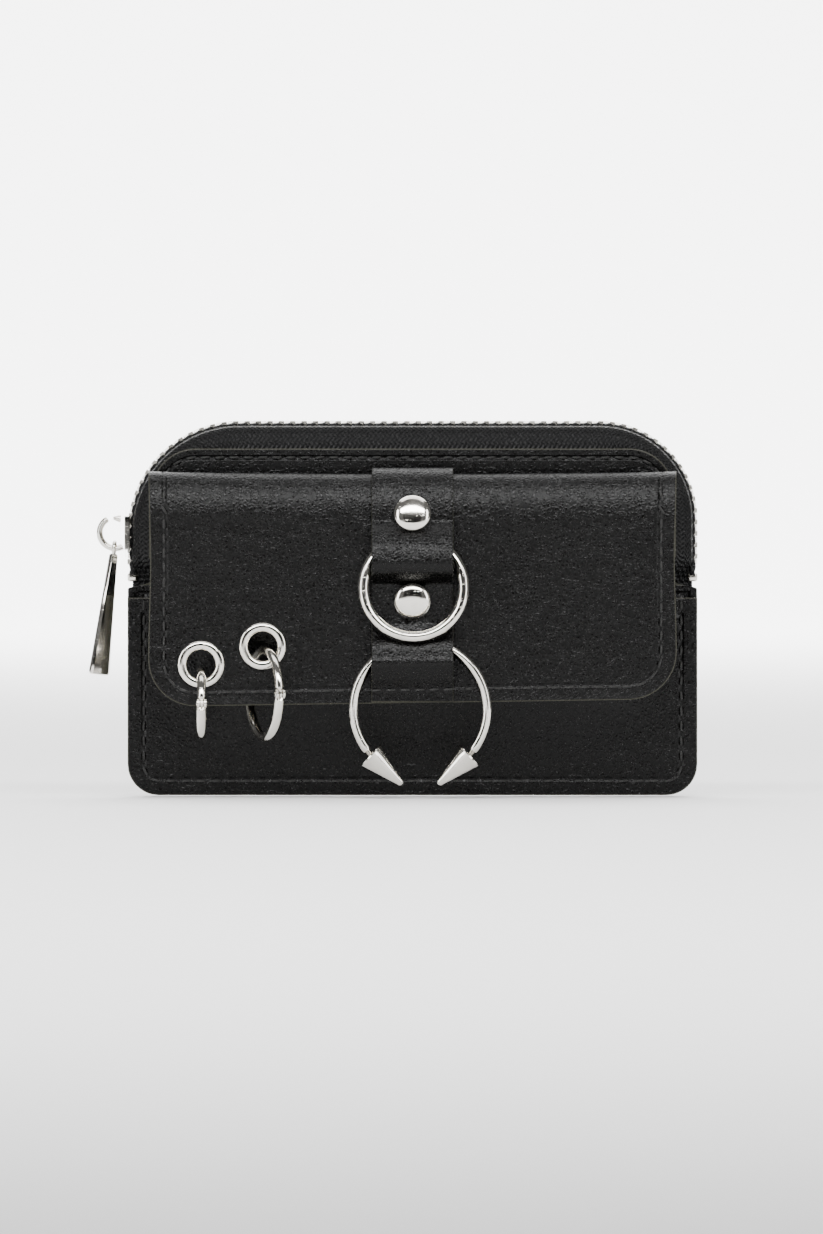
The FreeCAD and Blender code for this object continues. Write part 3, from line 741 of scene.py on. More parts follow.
@dataclass(frozen=True)
class Leather:
    """Fine-grained dark leather with painted shade in the grain's crevices, grain tops lightened by wear and painted
    glints, and a pale cut edge.
    """

    tint: tuple[float, float, float] = (0.0010, 0.00095, 0.00085)
    # Colour of the lighter speckles on the grain: partly wear, partly painted glint.
    wear_and_glint: tuple[float, float, float] = (0.014, 0.0135, 0.0125)
    cut_edge: tuple[float, float, float] = (0.034, 0.033, 0.024)
    pebble: float = 0.80
    gloss: float = 0.20
    stitch_in: float = 3.4
    shine: float = 0.17
    depth: float = 0.000070

    def made(self, name: str) -> bpy.types.Material:
        """Builds the finish under a name."""
        r = Recipe(name, IOR=1.5, Specular_IOR_Level=self.shine)
        flat = r.cut()
        drift = r.node("ShaderNodeTexNoise", {}, {"Vector": flat, "Scale": 420.0, "Detail": 2.0},
                       "Color")
        bent = r.shifted(flat, drift, 0.0011)
        pebbles = r.cells(bent, 1 / (self.pebble * MM)).between(0.0, 0.34)
        fine = r.cells(bent, 1 / (self.pebble * 0.45 * MM)).between(0.0, 0.4)
        creases = r.cells(r.shifted(flat, drift, 0.004), 210.0).between(0.0, 0.12)
        dust = r.noise(flat, 3600.0, 2.0)
        cloud = r.noise(flat, 55.0, 4.0)
        edge = r.stored("Edge")
        near_edge = 1.0 - edge.between(0.0, 1.1)
        cut = 1.0 - edge.between(0.10, 0.32)
        groove = 1.0 - (edge - self.stitch_in).size().between(0.10, 0.65)
        scuffed = cloud.between(0.48, 0.72) * 0.55 + near_edge * 0.35
        # Lighter speckles on the pebble tops: a painted glint everywhere, stronger where the grain is scuffed by wear
        # near the edges and in patches.
        glint_specks = r.noise(flat, 1500.0, 5.0, 0.7).between(0.54, 0.72) * pebbles
        top = r.mix(glint_specks * (0.16 + scuffed * 0.6), self.tint, self.wear_and_glint)
        # Painted shade: the crevices between the pebbles are darkened to less than half the tint.
        top = r.mix((1.0 - pebbles) * 0.6, top, tuple(c * 0.45 for c in self.tint))
        fibres = r.noise(r.place(), 2600.0, 3.0)
        paint = r.mix(fibres, tuple(c * 0.55 for c in self.cut_edge), self.cut_edge)
        r.feed("Base Color", r.mix(cut, top, paint))
        rough = self.gloss + (1.0 - pebbles) * 0.12 + (cloud - 0.5) * 0.10 + dust * 0.05
        r.feed("Roughness", rough + cut * 0.15 - near_edge * 0.03)
        height = (pebbles * 0.62 + fine * 0.22 + dust * 0.10 + creases * 0.45
                  + cloud * 1.6 - groove * 3.2)
        r.relief(height * (1.0 - cut * 0.7), self.depth)
        return r.material


@dataclass(frozen=True)
class Weave:
    """Woven cloth: ribs across the sheet with finer threads along it, and a painted highlight on the raised threads.
    """

    tint: tuple[float, float, float] = (0.0018, 0.0018, 0.0019)
    rib: float = 1.15
    thread: float = 1.0
    lift: float = 0.00034
    shine: float = 0.2

    def made(self, name: str) -> bpy.types.Material:
        """Builds the finish under a name."""
        r = Recipe(name, IOR=1.5, Specular_IOR_Level=self.shine)
        flat = r.cut()
        x, y = r.part(flat, "X"), r.part(flat, "Y")
        fuzz = r.noise(flat, 4200.0, 4.0)
        cloud = r.noise(flat, 90.0, 3.0)
        stray = r.noise(flat, 900.0, 2.0) * 2.2
        across = (x * (2 * math.pi / (self.rib * MM)) + stray).wave()
        along = (y * (2 * math.pi / (self.thread * MM)) + across * 0.9 + stray).wave()
        body = (across * along) * 0.5 + 0.5
        # Painted highlight: the colour turns lighter where the ribs and threads stand highest, the same pattern as the
        # relief; the fuzz adds fibre tone that varies at random.
        light = tuple(min(1.0, c * 3.2) for c in self.tint)
        r.feed("Base Color", r.mix(body * 0.5 + fuzz * 0.35, self.tint, light))
        r.feed("Roughness", 0.30 + fuzz * 0.14 + cloud * 0.06)
        r.relief(body + fuzz * 0.5, self.lift)
        return r.material


@dataclass(frozen=True)
class Nickel:
    """Polished plated metal with a soft polish, faint scratches and handling marks."""

    tint: tuple[float, float, float] = (0.70, 0.675, 0.62)
    dull: float = 0.09
    marks: float = 0.12
    scratch: float = 0.0000045

    def made(self, name: str) -> bpy.types.Material:
        """Builds the finish under a name."""
        r = Recipe(name, Metallic=1.0)
        here = r.place()
        cloud = r.noise(here, 240.0, 4.0)
        fine = r.noise(here, 2600.0, 3.0, 0.6)
        stretched = r.node("ShaderNodeMapping", {}, {"Vector": here, "Scale": (400.0, 400.0, 5200.0)})
        lines = r.noise(stretched, 1.0, 2.0).between(0.62, 0.74)
        smear = cloud.between(0.45, 0.7)
        darker = tuple(c * 0.72 for c in self.tint)
        r.feed("Base Color", r.mix(smear * 0.35 + lines * 0.2, self.tint, darker))
        r.feed("Roughness", self.dull + smear * self.marks + lines * 0.08 + fine * 0.03)
        r.relief(fine * 0.6 + lines * 1.5 + cloud * 3.0, self.scratch)
        return r.material


@dataclass(frozen=True)
class Thread:
    """Waxed sewing thread with a tight twist and a painted highlight along the twist's ridges."""

    tint: tuple[float, float, float] = (0.0022, 0.0021, 0.0019)
    shine: float = 0.42
    turn: float = 0.00034

    def made(self, name: str) -> bpy.types.Material:
        """Builds the finish under a name."""
        r = Recipe(name, IOR=1.5, Specular_IOR_Level=self.shine)
        here = r.place()
        total = r.part(here, "X") + r.part(here, "Z") + r.part(here, "Y")
        twist = (total * (2 * math.pi / self.turn)).wave() * 0.5 + 0.5
        fuzz = r.noise(here, 7000.0, 3.0)
        # Painted highlight: the thread turns lighter along the raised ridges of its twist, the same pattern as its
        # relief; the fuzz adds tone that varies at random.
        light = tuple(c * 3.4 for c in self.tint)
        r.feed("Base Color", r.mix(twist * 0.6 + fuzz * 0.3, self.tint, light))
        r.feed("Roughness", 0.42 + fuzz * 0.2)
        r.relief(twist + fuzz * 0.4, 0.00005)
        return r.material


@dataclass(frozen=True)
class Paper:
    """Pale matt sweep that the wallet is shown on."""

    tint: tuple[float, float, float] = (0.90, 0.90, 0.90)

    def made(self, name: str) -> bpy.types.Material:
        """Builds the finish under a name."""
        r = Recipe(name, IOR=1.3)
        grain = r.noise(r.place(), 90.0, 3.0)
        r.feed("Base Color", r.mix(grain, tuple(c * 0.985 for c in self.tint), self.tint))
        r.feed("Roughness", 0.85 + grain * 0.1)
        return r.material


@dataclass
class Finishes:
    """Every finish of the wallet, made once."""

    leather: bpy.types.Material = field(default_factory=lambda: Leather().made("Leather"))
    strap: bpy.types.Material = field(
        default_factory=lambda: Leather(stitch_in=90.0, gloss=0.18).made("StrapLeather"))
    flap: bpy.types.Material = field(
        default_factory=lambda: Leather(stitch_in=3.3).made("FlapLeather"))
    trim: bpy.types.Material = field(
        default_factory=lambda: Leather(stitch_in=1.9).made("TopLeather"))
    tape: bpy.types.Material = field(default_factory=lambda: Weave().made("ZipTape"))
    lining: bpy.types.Material = field(
        default_factory=lambda: Weave((0.006, 0.006, 0.006), 0.7, 0.45, 0.00009).made("LiningCloth"))
    nickel: bpy.types.Material = field(default_factory=lambda: Nickel().made("Nickel"))
    zip_metal: bpy.types.Material = field(
        default_factory=lambda: Nickel((0.66, 0.635, 0.58), 0.16, 0.14).made("ZipMetal"))
    thread: bpy.types.Material = field(default_factory=lambda: Thread().made("Thread"))


# ---- leather body --------------------------------------------------------------------------------


@dataclass
class Body:
    """Shape of the sewn body that panels, linings and zip all follow."""

    half_width: float = 60.0
    panel_height: float = 73.0
    zip_end: float = 44.4
    upper_inset: float = 5.0
    foot_radius: float = 6.6
    head_radius: float = 9.4
    leather: float = 1.2
    lining: float = 0.4
    gap: float = 0.1
    seam_margin: float = 3.4
    compartment_bulge: float = 4.6
    pocket_gape: float = 5.2
    pocket_top: float = 41.6

    @property
    def seam(self) -> float:
        """Depth of a main panel's outer face at the seam."""
        return self.gap / 2 + self.lining + self.gap + self.leather

    @property
    def pocket_seam(self) -> float:
        """Depth of the pocket's outer face at the seam."""
        return self.seam + self.gap + self.lining + self.gap + self.leather

    @property
    def mouth_bend(self) -> tuple[Point, Point]:
        """Where the back starts and stops bending as the mouth opens, in metres."""
        return (0, 0, (self.zip_end - 1) * MM), (0, 0, (self.zip_end + 4.2) * MM)

    def bulge(self, x: float, z: float) -> float:
        """How far a main panel stands out from its seam."""
        from_side = self.half_width - abs(x) - self.seam_margin + 3.3 * max(0.0, z - self.zip_end)
        share = smooth((z - self.seam_margin) / 40.0) * smooth(from_side / 24.0)
        return self.compartment_bulge * share

    def pocket_bulge(self, x: float, z: float) -> float:
        """How far the front pocket stands out from its seam."""
        from_side = self.half_width - abs(x) - self.seam_margin
        share = smooth(z / 44.0) ** 2.6 * smooth(from_side / 28.0)
        return self.bulge(x, z) + self.pocket_gape * share

    def main_depth(self, x: float, z: float) -> float:
        """How far inside the outline of a main panel a point lies."""
        low = rounded_depth(x, z, self.half_width, 0, self.zip_end, self.foot_radius, 1.0)
        tall = rounded_depth(x, z, self.half_width - self.upper_inset, -20, self.panel_height,
                             self.foot_radius, self.head_radius)
        return max(low, tall if z > self.zip_end - 8 else -9.0)

    def pocket_depth(self, x: float, z: float) -> float:
        """How far inside the outline of the pocket a point lies."""
        return rounded_depth(x, z, self.half_width, 0, self.pocket_top, self.foot_radius, 0.02)

    def main_half(self, z: float) -> float:
        """Half width of a main panel at a height."""
        return self._half(z, self.panel_height, self.head_radius, self.upper_inset)

    def pocket_half(self, z: float) -> float:
        """Half width of the pocket at a height."""
        return self._half(z, self.pocket_top, 0.0, 0.0)

    def _half(self, z: float, top: float, head: float, inset: float) -> float:
        """Half width of a panel with rounded corners at a height."""
        half = self.half_width - inset * smooth((z - self.zip_end + 0.9) / 1.4)
        if z < self.foot_radius:
            drop = self.foot_radius - z
            half -= self.foot_radius - math.sqrt(max(0.0, self.foot_radius**2 - drop**2))
        if head and z > top - head:
            rise = z - (top - head)
            half -= head - math.sqrt(max(0.0, head**2 - rise**2))
        return half


def heights(top: float, ears: Optional[float] = None) -> list[float]:
    """Rows of a panel, close together where its outline turns.

    Args:
        top: the panel's height.
        ears: the height at which its outline steps in, if it does.

    Returns:
        The rows, from 0 to the top.
    """
    rows = [0.0, 0.15, 0.4, 0.8, 1.3, 1.9, 2.6, 3.4, 4.3, 5.3, 6.6]
    rows += [6.6 + (top - 16.6) * k / 22 for k in range(1, 23)]
    rows += [top - d for d in (8.7, 7.4, 6.2, 5.1, 4.1, 3.2, 2.4, 1.7, 1.1, 0.6, 0.25, 0.08, 0.0)]
    if ears is not None:
        rows = [r for r in rows if not ears - 1.6 < r < ears + 1.4]
        rows += [ears + d for d in (-1.4, -1.0, -0.75, -0.5, -0.25, 0.0, 0.25, 0.5, 0.8, 1.2)]
    return sorted(set(rows))


@dataclass
class Panels:
    """Front and back leather of the zipped compartment, the front pocket, and their linings."""

    body: Body
    finishes: Finishes

    def _sheet(self, name: str, side: Facing, half: Callable[[float], float],
               bulge: Callable[[float, float], float], outer: float, thickness: float,
               rows: list[float], unevenness: float, seed: float,
               trim: float = 0.0, top: float = 200.0) -> bpy.types.Object:
        """Lays one sheet on a bulged surface.

        Args:
            name: the piece's name.
            side: which way its good side looks.
            half: its half width at a height.
            bulge: how far it stands out from its seam.
            outer: depth of its good side at the seam.
            thickness: its thickness.
            rows: heights of its rows.
            unevenness: how far it strays from the even surface.
            seed: which unevenness.
            trim: how much smaller it is than its outline, all round.
            top: height at which it ends.

        Returns:
            The piece.
        """
        way = side.value
        columns = spaced(-1.0, 1.0, 0.012, 0.055, 0.12)

        def place(u: float, z: float) -> Point:
            """Point of the good side."""
            z = min(max(z, trim), top)
            x = u * max(0.5, half(z) - trim) * (1 if way < 0 else -1)
            rough = wave(x, z, seed) * unevenness * smooth(bulge(x, z) / 2.0)
            return (x, way * (outer + bulge(x, z) + rough), z)

        return cut_sheet(name, columns, rows, place, thickness)

    def _mark(self, piece: bpy.types.Object, depth: Callable[[float, float], float]) -> None:
        """Stores each point's distance from the cut edge, and lays the flat map by place."""
        wear(piece, "Edge", lambda p: max(0.0, depth(p.x, p.z)))
        laid_flat(piece, lambda co, _: (co.x, co.z))

    def front(self) -> bpy.types.Object:
        """Front panel, seen above the flap and at its sides."""
        b = self.body
        piece = self._sheet("front_leather", Facing.FRONT, b.main_half, b.bulge, b.seam,
                            b.leather, heights(b.panel_height, b.zip_end), 0.12, 1.3)
        self._mark(piece, b.main_depth)
        return mounted(piece, self.finishes.trim, "leather", "wallet_body", "front_panel")

    def back(self) -> bpy.types.Object:
        """Back panel in one piece, which bends as the mouth opens."""
        b = self.body
        piece = self._sheet("back_leather", Facing.BACK, b.main_half, b.bulge, b.seam,
                            b.leather, heights(b.panel_height, b.zip_end), 0.10, 4.1)
        self._mark(piece, b.main_depth)
        dress(piece, self.finishes.leather, "leather")
        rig.replaces(piece, "back_panel_lower", "back_panel_fold", "back_panel_upper")
        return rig.blend(piece, "wallet_body", "mouth", *b.mouth_bend)

    def pocket(self) -> bpy.types.Object:
        """Front pocket's leather, which shows below the flap and beside it."""
        b = self.body
        rows = [r for r in heights(b.pocket_top) if r < b.pocket_top - 0.5] + [
            b.pocket_top - 0.4, b.pocket_top - 0.15, b.pocket_top]
        piece = self._sheet("pocket_leather", Facing.FRONT, b.pocket_half, b.pocket_bulge,
                            b.pocket_seam, b.leather, rows, 0.16, 2.2)
        self._mark(piece, b.pocket_depth)
        return mounted(piece, self.finishes.leather, "leather", "wallet_body", "pocket_panel")

    def linings(self) -> list[bpy.types.Object]:
        """Cloth behind each leather panel."""
        b = self.body
        trim, top = 1.0, 68.4
        cloth = self.finishes.lining
        rows = [trim + (top - trim) * k / 34 for k in range(35)]

        def half(z: float) -> float:
            """Half width of the compartment's linings, which keep clear of the zip tapes."""
            return min(b.main_half(z), b.main_half(z + 6.0) - 3.2 * smooth((z - 40) / 6))

        front, back = (self._sheet(name, side, half, b.bulge, b.gap / 2 + b.lining, b.lining,
                                   rows, 0.0, 0.0, trim)
                       for name, side in (("front_cloth", Facing.FRONT), ("back_cloth", Facing.BACK)))
        mounted(front, cloth, "lining", "wallet_body", "front_lining")
        dress(back, cloth, "lining")
        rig.replaces(back, "back_lining_lower", "back_lining_upper")
        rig.blend(back, "wallet_body", "mouth", *b.mouth_bend)
        rows = [trim + (b.pocket_top - 2 * trim) * k / 24 for k in range(25)]
        pocket = self._sheet("pocket_cloth", Facing.FRONT, b.pocket_half, b.pocket_bulge,
                             b.pocket_seam - b.leather - b.gap, b.lining, rows, 0.0, 0.0, trim)
        mounted(pocket, cloth, "lining", "wallet_body", "pocket_lining")
        return [front, back, pocket]

    def seam_edges(self) -> bpy.types.Object:
        """Filled and burnished edges between the panels, round the bottom and up the sides."""
        b = self.body
        strips = []
        inset = 0.45
        layers = ((-b.gap / 2 - b.lining, b.gap / 2 + b.lining),
                  (-b.pocket_seam + b.leather + 0.05, -b.seam - 0.05))
        for k, (front, back) in enumerate(layers):
            path = outline_path(b.half_width - inset, inset, b.pocket_top - 0.2,
                                b.foot_radius - inset, 0.9)
            middle = (front + back) / 2
            half_y, half_n = (back - front) / 2, inset * 0.92
            rings = []
            for p, along in path:
                out = Vector((along.z, 0, -along.x))
                centre = Vector((p.x, middle, p.z))
                rings.append([centre + Vector((0, 1, 0)) * (half_y * a) + out * (half_n * c)
                              for a, c in ((-1, -1), (1, -1), (1, 0.6), (0.6, 1.0), (-0.6, 1.0),
                                           (-1, 0.6))])
            strips.append(loft("seam_strip_%d" % k, rings))
        piece = joined("seam_edges_burnished", strips)
        laid_flat(piece, lambda co, _: (co.x + co.y, co.z))
        wear(piece, "Edge", lambda p: 0.0)
        return mounted(piece, self.finishes.leather, "leather", "wallet_body", "seam_edges")


def outline_path(half: float, low: float, high: float, radius: float,
                 step: float) -> list[tuple[Vector, Vector]]:
    """A line down one side, round the bottom corners and up the other.

    Args:
        half: half its width.
        low: its lowest height.
        high: where both ends are.
        radius: radius of its corners.
        step: distance between its points.

    Returns:
        (point, direction) pairs from the left end to the right one.
    """
    side = high - low - radius
    arc = radius * math.pi / 2
    base = 2 * (half - radius)
    total = 2 * side + 2 * arc + base
    count = max(8, round(total / step))
    found = []
    for k in range(count + 1):
        s = total * k / count
        if s <= side:
            found.append((Vector((-half, 0, high - s)), Vector((0, 0, -1))))
        elif s <= side + arc:
            a = math.pi + (s - side) / radius
            found.append((Vector((-half + radius + radius * math.cos(a), 0,
                                  low + radius + radius * math.sin(a))),
                          Vector((-math.sin(a), 0, math.cos(a)))))
        elif s <= side + arc + base:
            found.append((Vector((-half + radius + s - side - arc, 0, low)), Vector((1, 0, 0))))
        elif s <= side + 2 * arc + base:
            a = 1.5 * math.pi + (s - side - arc - base) / radius
            found.append((Vector((half - radius + radius * math.cos(a), 0,
                                  low + radius + radius * math.sin(a))),
                          Vector((-math.sin(a), 0, math.cos(a)))))
        else:
            rise = s - side - 2 * arc - base
            found.append((Vector((half, 0, low + radius + rise)), Vector((0, 0, 1))))
    return found


# ---- stitching -----------------------------------------------------------------------------------


@dataclass
class Stitching:
    """Rows of lockstitch, each stitch a short twist of thread that dips into its holes."""

    finishes: Finishes
    length: float = 2.35
    radius: float = 0.27

    def _stitch(self) -> bpy.types.Object:
        """One stitch along X at the origin."""
        rings = []
        for t, fat, drop in ((-1.0, 0.35, -0.42), (-0.86, 0.85, -0.16), (-0.5, 1.0, 0.06),
                             (0.0, 1.05, 0.12), (0.5, 1.0, 0.06), (0.86, 0.85, -0.16),
                             (1.0, 0.35, -0.42)):
            centre = Vector((t * self.length / 2, 0, drop))
            rings.append(ring_points(centre, Vector((0, 1, 0)), Vector((0, 0, 1)),
                                     self.radius * fat, 6))
        return loft("stitch", rings)

    def row(self, name: str, stops: list[tuple[Vector, Vector, Vector]],
            body: str) -> bpy.types.Object:
        """Sews one row.

        Args:
            name: the row's name.
            stops: (point, direction, outward) of each stitch, in millimetres.
            body: the body it moves with.

        Returns:
            The row as one piece.
        """
        master = self._stitch()
        shake = random.Random(len(stops) * 7 + len(name))
        copies = []
        for point, along, out in stops:
            lean = out.cross(along) * shake.uniform(-0.07, 0.07)
            copies.append(copied(master, facing(point, along + lean, out)))
        bpy.data.objects.remove(master)
        piece = joined(name, copies)
        return mounted(piece, self.finishes.thread, "leather", body)


def on_surface(path: list[tuple[Vector, Vector]], depth: Callable[[float, float], float],
               lift: float = 0.0) -> list[tuple[Vector, Vector, Vector]]:
    """Drops a row's places onto a surface that is a depth over X and Z.

    Args:
        path: (point, direction) pairs in the XZ plane.
        depth: Y of the surface at a place.
        lift: how far outwards to raise each place.

    Returns:
        (point, direction, outward) of each place.
    """
    found = []
    way = -1.0 if depth(0, 20) < 0 else 1.0
    for p, along in path:
        y = depth(p.x, p.z)
        slope_x = (depth(p.x + 0.5, p.z) - depth(p.x - 0.5, p.z))
        slope_z = (depth(p.x, p.z + 0.5) - depth(p.x, p.z - 0.5))
        out = Vector((-way * slope_x, way, -way * slope_z)).normalized()
        run = Vector((along.x, along.x * slope_x + along.z * slope_z, along.z))
        found.append((Vector((p.x, y, p.z)) + out * lift, run, out))
    return found


# ---- flap and strap ------------------------------------------------------------------------------


@dataclass
class Flap:
    """Flap with its rolled fold, lining and stitching."""

    finishes: Finishes
    half: float = 55.4
    low: float = 19.7
    corner: float = 10.0
    front_y: float = -16.65
    back_y: float = -6.55
    centre_z: float = 58.2
    rise: float = 10.0
    leg_foot: float = 50.0
    thickness: float = 1.2
    tilt: float = 0.0145
    sag: float = 0.5
    bend_back: float = -8.4
    bend_front: float = -15.2
    roll_steps: int = 48
    stitch_in: float = 3.3
    stitch_up: float = 2.8
    stitch_pitch: float = 3.0
    eyes: tuple[tuple[float, float], ...] = ((-44.3, 27.8), (-31.4, 31.6))
    eye_hole: float = 3.3

    @property
    def mid_y(self) -> float:
        """Middle of the roll."""
        return (self.front_y + self.back_y) / 2

    @property
    def half_depth(self) -> float:
        """Half the roll's depth."""
        return (self.back_y - self.front_y) / 2

    @property
    def bend(self) -> tuple[Point, Point]:
        """Where the roll starts and stops bending as the flap opens, in metres."""
        return (0, self.bend_back * MM, 0), (0, self.bend_front * MM, 0)

    def waist(self, v: float) -> float:
        """How far the sides draw in, a distance up from the flap's foot."""
        return 0.45 * math.exp(-((v - 30.0) / 13.0) ** 2)

    def skew(self, x: float, z: float) -> float:
        """How much lower or higher than level the flap hangs at a place."""
        hang = smooth((self.centre_z - z) / 36.0)
        crown = smooth((z - self.centre_z) / self.rise)
        return x * self.tilt * hang - crown * self.sag * (1 - (x / self.half) ** 2)

    def _roll(self) -> list[tuple[float, float, float]]:
        """The roll's points: distance up from the flap's foot, depth and height."""
        run, y, z = self.centre_z - self.low, self.front_y, self.centre_z
        found = [(run, y, z)]
        for k in range(1, self.roll_steps + 1):
            a = math.pi * k / self.roll_steps
            ny = self.mid_y - self.half_depth * math.cos(a)
            nz = self.centre_z + self.rise * math.sin(a)
            run, y, z = run + math.hypot(ny - y, nz - z), ny, nz
            found.append((run, y, z))
        return found

    def path(self, v: float) -> tuple[float, float]:
        """Depth and height of the good side a distance up from the flap's foot."""
        if v <= self.centre_z - self.low:
            return self.front_y, self.low + v
        roll = self._roll()
        for (run, y, z), (ahead, ny, nz) in zip(roll, roll[1:]):
            if ahead >= v:
                t = (v - run) / (ahead - run)
                return lerp(y, ny, t), lerp(z, nz, t)
        return self.back_y, self.centre_z - (v - roll[-1][0])

    def length(self) -> float:
        """Length of the sheet from the flap's foot to the end of the sewn leg."""
        return self._roll()[-1][0] + (self.centre_z - self.leg_foot)

    def half_at(self, v: float) -> float:
        """Half width a distance up from the flap's foot."""
        half = self.half
        if v < self.corner:
            half -= self.corner - math.sqrt(max(0.0, self.corner**2 - (self.corner - v) ** 2))
        return half - self.waist(v)

    def surface(self, x: float, z: float) -> float:
        """Depth of the flat front's good side."""
        return self.front_y + 0.22 * wave(x, z, 3.3) * smooth((abs(x) - 12.0) / 10.0)

    def leather(self) -> bpy.types.Object:
        """Flap, roll and sewn leg in one sheet."""
        total = self.length()
        flat = self.centre_z - self.low
        rows = [0.0, 0.12, 0.4, 0.8, 1.4, 2.1, 2.9, 3.8, 4.8, 6.0, 7.3, 8.6, 10.0]
        rows += [10.0 + (flat - 10.0) * k / 16 for k in range(1, 17)]
        rows += [flat + (total - flat) * k / 44 for k in range(1, 45)]
        columns = spaced(-1.0, 1.0, 0.010, 0.05, 0.12)

        def place(u: float, v: float) -> Point:
            """Point of the good side."""
            y, z = self.path(v)
            x = u * self.half_at(v)
            if v <= flat:
                y = lerp(self.surface(x, z), y, smooth((v - flat + 6) / 6))
            else:
                y -= 0.16 * wave(x, v * 1.7, 5.0) * (1 if y < self.mid_y else 0)
            return (x, y, z + self.skew(x, z))

        piece = self.pierced(cut_sheet("flap_leather", columns, rows, place, self.thickness))

        def depth(p: Vector) -> float:
            """Distance from the cut edge."""
            z = p.z - self.skew(p.x, p.z)
            if p.y > self.mid_y:
                return max(0.0, min(self.half - abs(p.x), z - self.leg_foot))
            half = self.half - self.waist(z - self.low)
            return max(0.0, rounded_depth(p.x, z, half, self.low, 200.0, self.corner, 1.0))

        wear(piece, "Edge", depth)
        laid_flat(piece, lambda _, old: (old.x * self.half, old.y))
        dress(piece, self.finishes.flap, "leather")
        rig.replaces(piece, "flap_panel", "flap_fold", "flap_leg")
        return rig.blend(piece, "wallet_body", "flap", *self.bend)

    def pierced(self, piece: bpy.types.Object) -> bpy.types.Object:
        """Punches the eyelets' holes through a layer of the flap."""
        for x, z in self.eyes:
            settle()
            bpy.ops.mesh.primitive_cylinder_add(vertices=40, radius=self.eye_hole * MM,
                                                depth=0.012, location=(x * MM, -0.0155, z * MM),
                                                rotation=(math.pi / 2, 0, 0))
            punch = added("punch")
            finish_with(piece, "BOOLEAN", operation="DIFFERENCE", object=punch, solver="EXACT")
            bpy.data.objects.remove(punch)
        return piece

    def lining(self) -> bpy.types.Object:
        """Cloth on the flap's inside."""
        low, high = self.low + 1.0, self.centre_z
        rows = [low + d for d in (0.0, 0.2, 0.8, 1.7, 2.8, 4.2, 6.0, 9.0)]
        rows += [lerp(low + 9.0, high, k / 16) for k in range(1, 17)]
        columns = spaced(-1.0, 1.0, 0.03, 0.08, 0.12)
        y = self.front_y + self.thickness + 0.1

        def place(u: float, z: float) -> Point:
            """Point of the side against the leather."""
            half = self.half - 1.0
            if z - low < self.corner:
                half -= self.corner - math.sqrt(max(0.0, self.corner**2
                                                    - (self.corner - z + low) ** 2))
            x = u * half
            return (x, y, z + self.skew(x, z))

        piece = self.pierced(cut_sheet("flap_cloth", columns, rows, place, 0.5, 0.1))
        return mounted(piece, self.finishes.lining, "lining", "flap", "flap_lining")

    def stitches(self) -> list[tuple[Vector, Vector, Vector]]:
        """Places of the stitches round the flap."""
        path = outline_path(self.half - self.stitch_in, self.low + self.stitch_up,
                            self.centre_z + 5.0, self.corner - self.stitch_in, self.stitch_pitch)
        found = []
        for p, along in path:
            if abs(p.x) < 9.6:
                continue
            if p.z > self.centre_z:
                a = math.asin(min(1.0, (p.z - self.centre_z) / self.rise))
                y = self.mid_y - self.half_depth * math.cos(a)
                out = Vector((0, -math.cos(a) * self.rise, math.sin(a) * self.half_depth))
                run = Vector((0, math.sin(a), math.cos(a))) * (1 if along.z > 0 else -1)
            else:
                y, out, run = self.surface(p.x, p.z), Vector((0, -1, 0)), along
            place = Vector((p.x, y, p.z + self.skew(p.x, p.z)))
            found.append((place, run, out))
        return found


